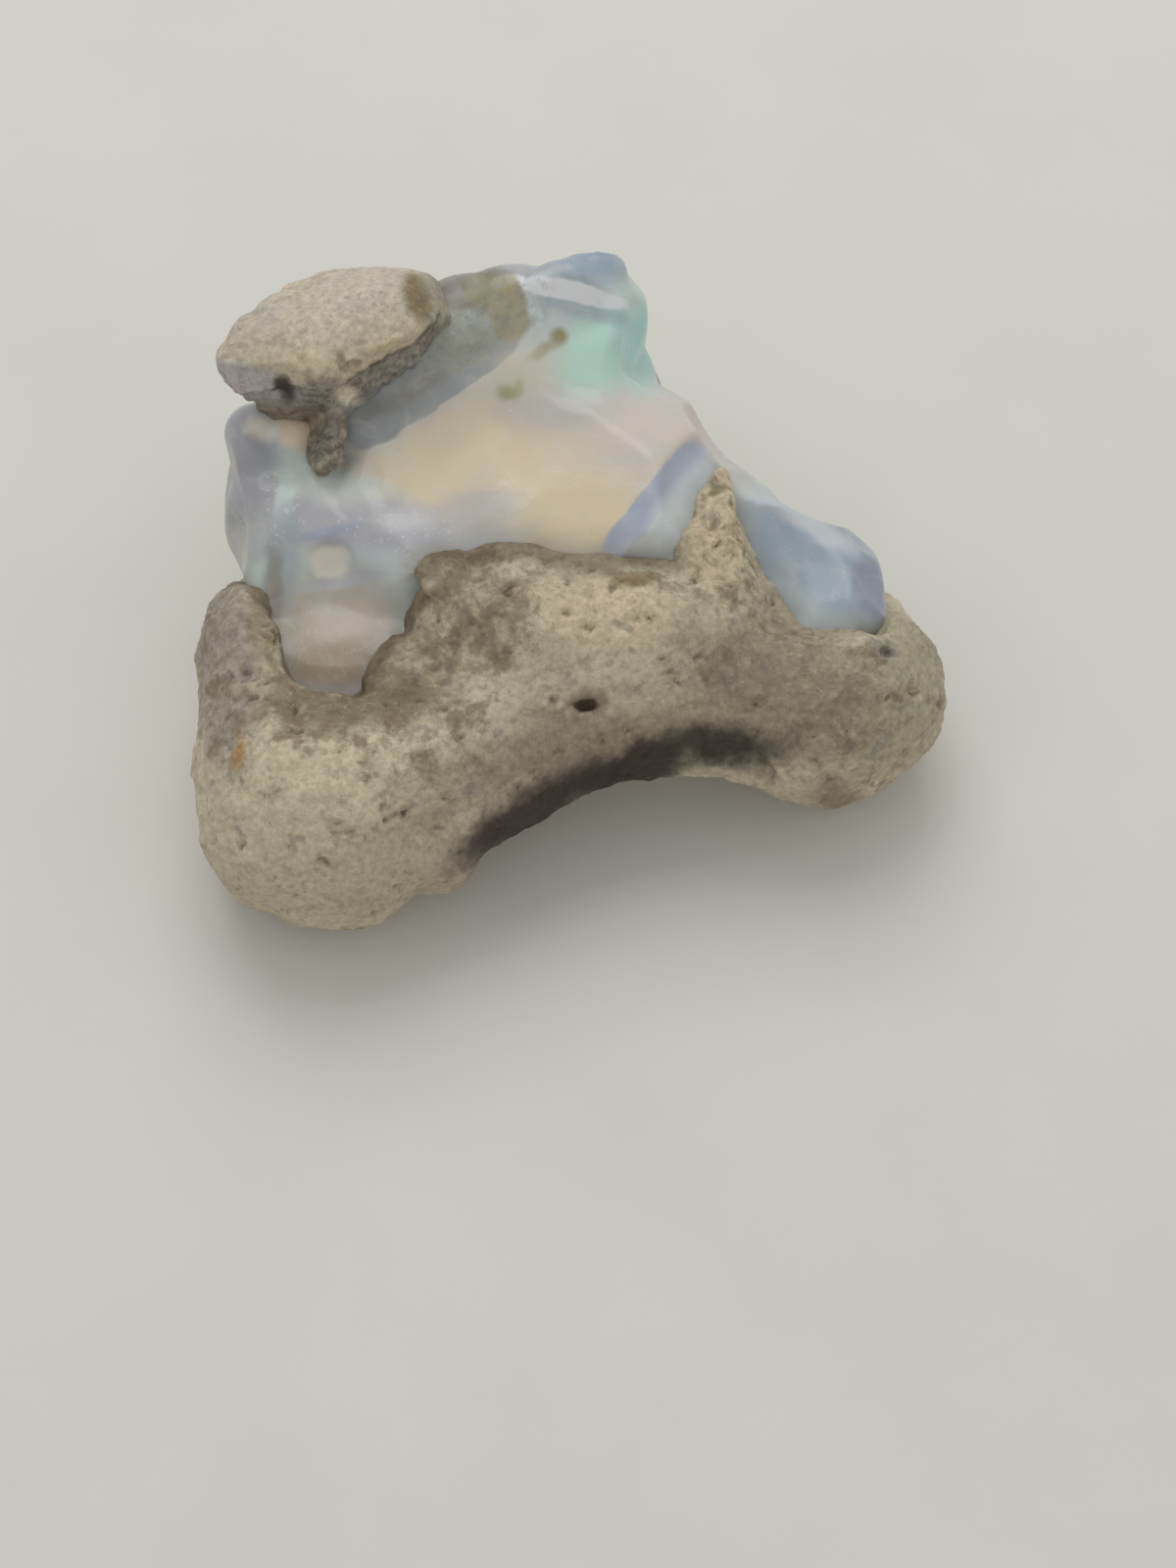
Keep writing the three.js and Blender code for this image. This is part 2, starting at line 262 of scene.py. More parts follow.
def pits(name, size, low, high):
    """Irregular pits: the texture is 1 between them and falls to 0 in them."""
    texture = clouds(name, size, 2)
    texture.use_color_ramp = True
    ramp = texture.color_ramp
    ramp.interpolation = "EASE"
    ramp.elements[0].position = low
    ramp.elements[0].color = (0, 0, 0, 1)
    ramp.elements[1].position = high
    ramp.elements[1].color = (1, 1, 1, 1)
    return texture


def weigh(piece, name, weights):
    """A vertex group with one weight a vertex."""
    group = piece.vertex_groups.new(name=name)
    for index, weight in enumerate(weights):
        if weight > 0:
            group.add((index,), float(weight), "REPLACE")
    return group


def points_of(piece, what="co"):
    """The piece's vertices as an array, in metres."""
    flat = np.empty(len(piece.data.vertices) * 3)
    piece.data.vertices.foreach_get(what, flat)
    return flat.reshape(-1, 3)


def normals_of(piece):
    """The vertices' normals as an array."""
    return points_of(piece, "normal")


def distance_to(piece, other):
    """How far each vertex of the piece is from the other piece's surface, in metres."""
    tree = BVHTree.FromObject(other, bpy.context.evaluated_depsgraph_get())
    return np.array([tree.find_nearest(point)[3] for point in points_of(piece)])


def fade(values, near, far):
    """1 up to near, 0 past far, and smooth between."""
    t = np.clip((far - values) / (far - near), 0, 1)
    return t * t * (3 - 2 * t)


def mark(piece, name, values):
    """Keeps one number a vertex for the material to read."""
    layer = piece.data.attributes.new(name, "FLOAT", "POINT")
    layer.data.foreach_set("value", np.asarray(values, np.float32))


def evened(piece, values, rounds):
    """Numbers or vectors of the vertices, evened out with their neighbours."""
    edges = np.empty(len(piece.data.edges) * 2, int)
    piece.data.edges.foreach_get("vertices", edges)
    a, b = edges[0::2], edges[1::2]
    links = np.maximum(np.bincount(edges, minlength=len(values)), 1)[:, None]
    smooth = np.array(values, float).reshape(len(values), -1)
    for _ in range(rounds):
        total = np.empty_like(smooth)
        for column in range(smooth.shape[1]):
            total[:, column] = np.bincount(a, smooth[b, column], len(values))
            total[:, column] += np.bincount(b, smooth[a, column], len(values))
        smooth = 0.5 * smooth + 0.5 * total / links
    return smooth if np.ndim(values) > 1 else smooth[:, 0]


def hollow_marks(piece, rounds, depth):
    """0 on raised grains, 0.5 on even ground and 1 in hollows."""
    points = points_of(piece)
    out = np.einsum("ij,ij->i", evened(piece, points, rounds) - points, normals_of(piece))
    return np.clip(0.5 + 0.5 * out / depth, 0, 1)


def move_points(piece, points):
    """Puts the vertices in new places."""
    piece.data.vertices.foreach_set("co", np.asarray(points, float).ravel())
    piece.data.update()


def grow_onto(piece, other, reach, bite, rounds=8):
    """Leans the skin near the other piece a little way into it, with no seam between them."""
    tree = BVHTree.FromObject(other, bpy.context.evaluated_depsgraph_get())
    points = points_of(piece)
    moves = np.zeros_like(points)
    for index, point in enumerate(points):
        place, normal, _, away = tree.find_nearest(Vector(point), reach)
        if place is None:
            continue
        outside = (Vector(point) - place).dot(normal)
        signed = away if outside > 0 else -away
        if signed < -bite:
            continue
        share = float(fade(np.array(signed), 0.4 * reach, reach))
        inward = place - Vector(point) if outside > 0.02 * MM else Vector((0, 0, 0))
        moves[index] = share * (inward - normal * bite)
    move_points(piece, points + evened(piece, moves, rounds))


def chip(piece, place, width, depth, lean=(0, 0, 0)):
    """Presses the skin back to a wide shallow bowl, as glass breaks."""
    tree = BVHTree.FromObject(piece, bpy.context.evaluated_depsgraph_get())
    spot, normal, _, _ = tree.find_nearest(Vector(place) * MM)
    facing = (normal + Vector(lean)).normalized()
    width, depth = width * MM, depth * MM
    radius = (width * width + depth * depth) / (2 * depth)
    centre = np.array(spot + facing * (radius - depth))
    points = points_of(piece)
    offset = points - centre
    away = np.linalg.norm(offset, axis=1)
    near = fade(np.linalg.norm(points - np.array(spot), axis=1), 0.8 * width, 1.4 * width)
    gap = np.minimum(np.maximum(radius - away, 0), 2 * depth) * near
    move_points(piece, points + offset / away[:, None] * gap[:, None])


def wall_place(points):
    """How far each point is in front of the wall, below its rim and above its foot, in millimetres."""
    x, y, z = points.T / MM
    rim_y, rim_z = np.interp(x, WALL_X, RIM_Y), np.interp(x, WALL_X, RIM_Z)
    foot_y, foot_z = np.interp(x, WALL_X, FOOT_Y), np.interp(x, WALL_X, FOOT_Z)
    t = np.clip((z - foot_z) / (rim_z - foot_z), 0, 1)
    wall_y = foot_y + (rim_y - foot_y) * t + OVERHANG * fade(np.abs(t - 0.76), 0.04, 0.2)
    return wall_y - y, rim_z - z, z - foot_z


def press_wall(piece):
    """Presses the front of the crust back to its broken wall, and leaves the drip that hangs from it."""
    points = points_of(piece)
    front, _, above_foot = wall_place(points)
    high = np.clip(above_foot + 0.7, 0, 1)
    middle, half = DRIP[0] + (DRIP[2] - DRIP[0]) * high, DRIP[1] + (DRIP[3] - DRIP[1]) * high
    drip = fade(np.abs(points[:, 0] / MM - middle) / half, 1.0, 1.5) * fade(above_foot, 0.2, 1.0)
    points[:, 1] += np.maximum(front, 0) * (1 - drip) * MM
    move_points(piece, points)


def flatten_base(piece):
    """Nothing reaches below the surface that the stone rests on."""
    select_only(piece)
    for vertex in piece.data.vertices:
        vertex.select = vertex.co.z < 0.02 * MM
    for polygon in piece.data.polygons:
        polygon.select = False
    for edge in piece.data.edges:
        edge.select = False
    bpy.ops.object.mode_set(mode="EDIT")
    bpy.ops.mesh.select_mode(type="VERT")
    bpy.ops.transform.resize(value=(1, 1, 0), center_override=(0, 0, 0))
    bpy.ops.object.mode_set(mode="OBJECT")


class Graph:
    """Lays nodes in one tree and joins them."""

    def __init__(self, tree):
        self.tree = tree

    def node(self, kind, inputs=(), **settings):
        """A new node; a value in inputs is another node's socket or a constant."""
        made = self.tree.nodes.new(kind)
        for name, value in settings.items():
            setattr(made, name, value)
        return self.fill(made, inputs)

    def fill(self, made, inputs):
        """Gives the node's named inputs their values."""
        for key, value in dict(inputs).items():
            self.join(value, made.inputs[key])
        return made

    def math(self, operation, a, b=0.0):
        """One sum."""
        return self.node("ShaderNodeMath", {0: a, 1: b}, operation=operation).outputs[0]

    def times(self, a, b):
        """One product."""
        return self.math("MULTIPLY", a, b)

    def vector(self, operation, a, b=(0, 0, 0)):
        """One sum of vectors."""
        return self.node("ShaderNodeVectorMath", {0: a, 1: b}, operation=operation).outputs[0]

    def scaled(self, a, factor):
        """A vector times a number."""
        return self.node("ShaderNodeVectorMath", {0: a, "Scale": factor}, operation="SCALE").outputs[0]

    def join(self, value, socket):
        """Links a socket or sets a constant."""
        if isinstance(value, bpy.types.NodeSocket):
            self.tree.links.new(value, socket)
        else:
            socket.default_value = value

    def mix(self, factor, a, b, blend="MIX"):
        """One colour over another."""
        inputs = {0: factor, 6: a, 7: b}
        return self.node("ShaderNodeMix", inputs, data_type="RGBA", blend_type=blend).outputs[2]

    def step(self, value, low, high, start=0.0, end=1.0):
        """Goes smoothly from start at low to end at high."""
        inputs = {"Value": value, "From Min": low, "From Max": high, "To Min": start, "To Max": end}
        return self.node("ShaderNodeMapRange", inputs, interpolation_type="SMOOTHSTEP").outputs["Result"]

    def noise(self, position, size, detail=3.0, roughness=0.55, distortion=0.0):
        """Noise whose lumps have this size in metres."""
        inputs = {"Vector": position, "Scale": 1 / size, "Detail": detail, "Roughness": roughness}
        made = self.node("ShaderNodeTexNoise", {**inputs, "Distortion": distortion})
        return made.outputs["Fac"], made.outputs["Color"]

    def marked(self, name):
        """A number kept on the piece's vertices."""
        return self.node("ShaderNodeAttribute", attribute_name=name).outputs["Fac"]


def new_group(name, inputs, outputs):
    """An empty shader group with these inputs, which puts out these numbers, and its two end nodes."""
    tree = bpy.data.node_groups.new(name, "ShaderNodeTree")
    for label, kind, default in inputs:
        socket = tree.interface.new_socket(name=label, in_out="INPUT", socket_type=kind)
        if default is not None:
            socket.default_value = default
    for label in outputs:
        tree.interface.new_socket(name=label, in_out="OUTPUT", socket_type=NUMBER)
    graph = Graph(tree)
    return graph, graph.node("NodeGroupInput"), graph.node("NodeGroupOutput")


def patch_group():
    """A soft-edged patch, 1 inside and 0 outside; its corners go from round at 2 to square at 8."""
    if "patch" in bpy.data.node_groups:
        return bpy.data.node_groups["patch"]
    graph, start, end = new_group(
        "patch",
        (
            ("Position", VECTOR, None),
            ("Place", VECTOR, None),
            ("Size", VECTOR, (MM, MM, MM)),
            ("Turn", VECTOR, None),
            ("Corner", NUMBER, 2.0),
            ("Edge", NUMBER, 0.4),
        ),
        ("Mask",),
    )
    offset = graph.vector("SUBTRACT", start.outputs["Position"], start.outputs["Place"])
    turned = graph.node(
        "ShaderNodeVectorRotate",
        {"Vector": offset, "Rotation": start.outputs["Turn"]},
        rotation_type="EULER_XYZ",
        invert=True,
    ).outputs[0]
    scaled = graph.vector("ABSOLUTE", graph.vector("DIVIDE", turned, start.outputs["Size"]))
    parts = graph.node("ShaderNodeSeparateXYZ", {0: scaled}).outputs
    corner = start.outputs["Corner"]
    powers = [graph.math("POWER", part, corner) for part in parts]
    total = graph.math("ADD", graph.math("ADD", powers[0], powers[1]), powers[2])
    away = graph.math("POWER", total, graph.math("DIVIDE", 1.0, corner))
    inner = graph.math("SUBTRACT", 1.0, start.outputs["Edge"])
    outer = graph.math("ADD", 1.0, start.outputs["Edge"])
    graph.join(graph.step(away, inner, outer, 1.0, 0.0), end.inputs["Mask"])
    return graph.tree


def seen_turn(turn):
    """The turn that lays a patch in the picture as the viewer sees the stone, and then turns it there."""
    lean = Matrix.Rotation(math.pi / 2 - VIEW_TILT, 3, "X")
    return (lean @ Matrix.Rotation(math.radians(turn), 3, "Z")).to_euler("XYZ")


def patch_mask(graph, position, row):
    """The mask of one named patch."""
    _, place, size, turn, corner, edge = row[:6]
    inputs = {
        "Position": position,
        "Place": Vector(place) * MM,
        "Size": Vector(size) * MM,
        "Turn": seen_turn(turn),
        "Corner": corner,
        "Edge": edge,
    }
    return graph.node("ShaderNodeGroup", inputs, node_tree=patch_group()).outputs["Mask"]


def add_patches(graph, under, position, patches, colours):
    """Lays each named patch of colour over what is under it."""
    for row in patches:
        factor = graph.times(patch_mask(graph, position, row), row[7])
        under = graph.mix(factor, under, colours[row[6]])
    return under


def zone(graph, position, patches):
    """Where any of these patches is."""
    reach = 0.0
    for row in patches:
        mask = graph.times(patch_mask(graph, position, row), row[6])
        reach = graph.math("MAXIMUM", reach, mask)
    return reach


def tuff_group():
    """The grain of tuff: broad mottle, blotches, dark grit, grey grains, pale grains and a height."""
    if "tuff grain" in bpy.data.node_groups:
        return bpy.data.node_groups["tuff grain"]
    graph, start, end = new_group(
        "tuff grain",
        (("Position", VECTOR, None), ("Stained", NUMBER, 0.0)),
        ("Mottle", "Blotch", "Grit", "Grey", "Pale", "Shade", "Height"),
    )
    position, stained = start.outputs["Position"], start.outputs["Stained"]
    broad, _ = graph.noise(position, 2.8 * MM, 3, 0.55, 0.4)
    blotch, _ = graph.noise(position, 1.05 * MM, 5, 0.6, 0.3)
    small, _ = graph.noise(graph.vector("ADD", position, (0, 0.03, 0)), 0.42 * MM, 4, 0.6, 0.2)
    grit, _ = graph.noise(position, 0.16 * MM, 2, 0.6)
    gathered, _ = graph.noise(graph.vector("ADD", position, (0.05, 0, 0)), 1.6 * MM, 2, 0.5)
    grey, _ = graph.noise(graph.vector("ADD", position, (0, 0, 0.05)), 0.55 * MM, 1, 0.5)
    pale, _ = graph.noise(graph.vector("ADD", position, (0, 0.05, 0)), 0.26 * MM, 2, 0.6)
    height, _ = graph.noise(position, 0.42 * MM, 9, 0.7)
    shade, _ = graph.noise(position, 0.24 * MM, 4, 0.7)
    low = graph.math("SUBTRACT", 0.58, graph.times(stained, 0.18))
    patchy = graph.step(blotch, low, graph.math("ADD", low, 0.16))
    dotty = graph.times(graph.step(small, low, graph.math("ADD", low, 0.15)), 0.6)
    gritty = graph.times(graph.step(grit, 0.56, 0.68), graph.step(gathered, 0.4, 0.62, 0.3, 1.0))
    greyed = graph.times(graph.step(grey, 0.6, 0.72), graph.step(gathered, 0.58, 0.42))
    outputs = {
        "Mottle": graph.step(broad, 0.36, 0.64),
        "Blotch": graph.math("MAXIMUM", patchy, dotty),
        "Grit": gritty,
        "Grey": greyed,
        "Pale": graph.step(pale, 0.6, 0.7),
        "Shade": graph.step(shade, 0.25, 0.75, 0.8, 1.2),
        "Height": height,
    }
    graph.fill(end, outputs)
    return graph.tree


def new_material(name):
    """A material with one Principled shader, and its graph."""
    material = bpy.data.materials.new(name)
    material.use_nodes = True
    graph = Graph(material.node_tree)
    shader = graph.tree.nodes["Principled BSDF"]
    return material, graph, shader


def rgba(colour):
    """A colour with full alpha."""
    return (*colour, 1.0)


# A patch of colour has a name, a place, half sizes across, up and into the picture, a turn in the picture
# in degrees, how square its corners are, how soft its edge is, a colour and a strength.
ROCK_PATCHES = (
    ("pale lobe", (-8.8, -8.6, 7.4), (4.4, 4.2, 5.0), 0, 2, 0.45, "pale", 0.85),
    ("light of the lobe", (-8.8, -8.2, 7.6), (3.4, 3.6, 5.0), 0, 2, 0.6, "cream", 0.3),
    ("grey lower lobe", (-8.0, -11.0, 5.4), (4.8, 1.4, 5.0), 12, 2, 0.6, "drab", 0.15),
    ("lilac grey left wall", (-11.6, -3.6, 7.2), (1.15, 3.9, 4.5), 6, 3, 0.3, "lilac", 0.85),
    ("brown by the pool", (-4.6, -2.6, 8.2), (2.6, 2.2, 3.0), 28, 2, 0.6, "drab", 0.3),
    ("grey middle", (-0.4, -5.6, 7.2), (2.8, 1.7, 3.0), 0, 2, 0.6, "middle", 0.6),
    ("cream shelf", (1.2, -2.6, 8.4), (2.5, 1.2, 3.0), -8, 2, 0.5, "cream", 0.8),
    ("cream tongue", (5.0, 0.0, 8.3), (1.05, 2.7, 3.0), 0, 2, 0.4, "cream", 0.95),
    ("olive cream foot of the tongue", (6.2, -1.9, 7.5), (2.4, 1.1, 3.0), -14, 2, 0.6, "olive", 0.45),
    ("drab right side", (7.4, -4.6, 6.9), (3.6, 2.0, 3.4), -12, 2, 0.5, "drab", 0.9),
    ("brown foot on the right", (9.6, -5.8, 6.0), (1.7, 1.2, 3.0), -20, 2, 0.6, "brown", 0.25),
    ("olive tip", (11.6, -2.8, 5.6), (1.6, 3.0, 3.4), -16, 2, 0.5, "olive", 0.8),
    ("brown shade below", (-2.6, -7.4, 6.4), (4.4, 1.1, 3.0), 26, 2, 0.7, "drab", 0.6),
    ("olive below the pool", (-7.0, -5.3, 7.4), (2.9, 0.95, 3.0), 4, 2.5, 0.5, "dark olive", 0.8),
    ("grey brown below the pool", (-8.2, -4.4, 6.9), (1.7, 0.55, 3.0), -4, 2.5, 0.5, "brown", 0.7),
    ("orange spot", (-10.8, -7.2, 7.2), (0.26, 0.6, 1.6), -10, 2, 0.5, "orange", 0.9),
    ("dark spot by the hump", (10.5, -3.0, 6.8), (0.5, 0.42, 1.5), 0, 2, 0.6, "grey", 0.75),
    ("brown spot on the rim", (2.1, -1.2, 8.5), (0.95, 0.3, 1.5), 0, 2, 0.5, "rust", 0.8),
    ("dark grains by the pit", (1.8, -6.2, 6.2), (1.7, 0.6, 1.8), 20, 2, 0.7, "brown", 0.5),
    ("ochre edge of the pool", (-9.9, -3.1, 7.4), (0.25, 1.0, 1.5), 8, 2, 0.5, "rust", 0.7),
)
# Brown marks on the rock, and the painted shadows along its lip and in the crease by the pool.
ROCK_STAINS_AND_SHADOWS = (
    # Painted shadow: a dark brown line in the crease where the left wall meets the opal's pool.
    ("painted shadow in the crease by the pool", (-10.45, -1.9, 7.6), (0.25, 2.0, 2.0), 4, 3, 0.6, "brown", 0.65),
    ("dot on the tongue", (4.95, 2.4, 8.4), (0.24, 0.2, 1.5), 0, 2, 0.6, "dark olive", 0.75),
    # Painted shadow: a dark band along the front lip where the rock overhangs the floor, softer above and
    # darkest at the edge.
    ("painted shade above the lip", (2.4, -5.9, 6.0), (5.0, 1.2, 2.4), 10, 2, 0.7, "brown", 0.45),
    ("painted shadow under the lip, left", (-1.5, -8.1, 4.5), (2.7, 0.75, 2.6), 33, 2.5, 0.5, "stain", 0.95),
    ("painted shadow under the lip, middle", (2.0, -6.6, 5.0), (2.5, 0.75, 2.4), 22, 2.5, 0.5, "stain", 0.97),
    ("painted shadow under the lip, right", (5.2, -6.0, 5.6), (2.0, 0.6, 2.4), -6, 2.5, 0.6, "stain", 0.9),
    ("foot on the right", (9.4, -7.2, 3.4), (1.6, 0.6, 2.4), -38, 3, 0.5, "brown", 0.7),
    ("round the pit", (0.5, -5.1, 7.0), (0.66, 0.42, 2.0), 10, 2, 0.4, "brown", 0.6),
)
STAINED_ROCK = (
    ("mottles by the rim", (-4.2, -2.4, 8.4), (3.6, 2.5, 4.0), 30, 2, 0.5, 1.0),
    ("mottles below the pool", (-6.6, -5.4, 7.4), (4.4, 1.6, 4.0), 8, 2, 0.5, 0.8),
    ("mottles over the lobe", (-4.6, -7.0, 7.2), (3.4, 2.2, 4.0), 20, 2, 0.6, 0.45),
    ("mottles on the left wall", (-11.6, -4.0, 6.8), (1.4, 4.0, 4.0), 6, 2, 0.5, 0.6),
    ("mottles on the tongue", (5.2, -0.4, 8.3), (1.8, 3.0, 4.0), 0, 2, 0.5, 0.5),
    ("mottles on the right", (8.4, -4.6, 6.4), (4.6, 2.6, 4.0), -12, 2, 0.6, 0.45),
)
DARK_RIM = (
    ("rim of the main face", (-0.8, -0.2, 8.4), (5.0, 1.0, 4.0), -2, 4, 0.4, 0.8),
    ("rim of the pool", (-8.4, -2.4, 7.4), (3.3, 3.6, 4.0), 0, 4, 0.3, 0.9),
    ("rim of the hump", (8.8, -1.0, 7.0), (3.0, 2.0, 3.0), 0, 2, 0.5, 0.25),
)
CRUST_PATCHES = (
    ("grey top, left", (-10.8, 5.0, 13.0), (1.5, 1.9, 2.5), 20, 2, 0.5, "lilac", 0.35),
    ("lilac rim", (-10.9, 4.1, 12.3), (1.8, 0.5, 2.0), -12, 3, 0.5, "mauve", 0.85),
    ("grey of the top", (-7.6, 7.2, 12.9), (3.8, 2.0, 4.0), 10, 2, 0.6, "mauve", 0.45),
    # Painted light: the cap's low side is made paler, standing for light that reaches it.
    ("painted light on the low side", (-8.6, 4.5, 12.5), (1.4, 0.5, 2.0), -5, 2, 0.5, "cream", 0.6),
    ("rust by the cap", (-5.1, 7.0, 13.2), (0.45, 1.15, 2.0), 14, 2, 0.5, "rust", 0.85),
    ("pale crystals in the wall", (-7.35, 4.3, 11.1), (0.5, 0.3, 1.4), -20, 2, 0.5, "gold", 0.95),
    ("grey brown film", (-3.7, 8.7, 11.9), (1.3, 1.2, 3.0), 0, 3, 0.3, "ash", 0.9),
    ("grey foot of the wall", (-5.6, 5.4, 10.7), (2.3, 0.3, 2.0), 34, 3, 0.6, "slate", 0.75),
    ("end of the cap by the film", (-4.3, 7.0, 12.0), (0.5, 0.5, 1.5), 0, 2, 0.6, "olive", 0.5),
    ("olive end of the drip", (-8.3, 2.6, 9.8), (0.5, 0.5, 1.5), 0, 2, 0.6, "dark olive", 0.3),
)
STAINED_CRUST = (
    ("dark grains across the cap", (-6.6, 5.6, 13.3), (2.4, 0.9, 2.0), 24, 2, 0.6, 0.55),
)
# Marks on the crust, with the painted shade in its pit.
CRUST_STAINS_AND_SHADE = (
    ("shade in the pit", (-9.5, 3.6, 12.3), (0.36, 0.45, 1.4), 0, 3, 0.4, "stain", 0.95),
    ("foot of the wall", (-9.6, 4.0, 10.4), (1.6, 0.5, 1.5), -8, 2, 0.6, "brown", 0.5),
)
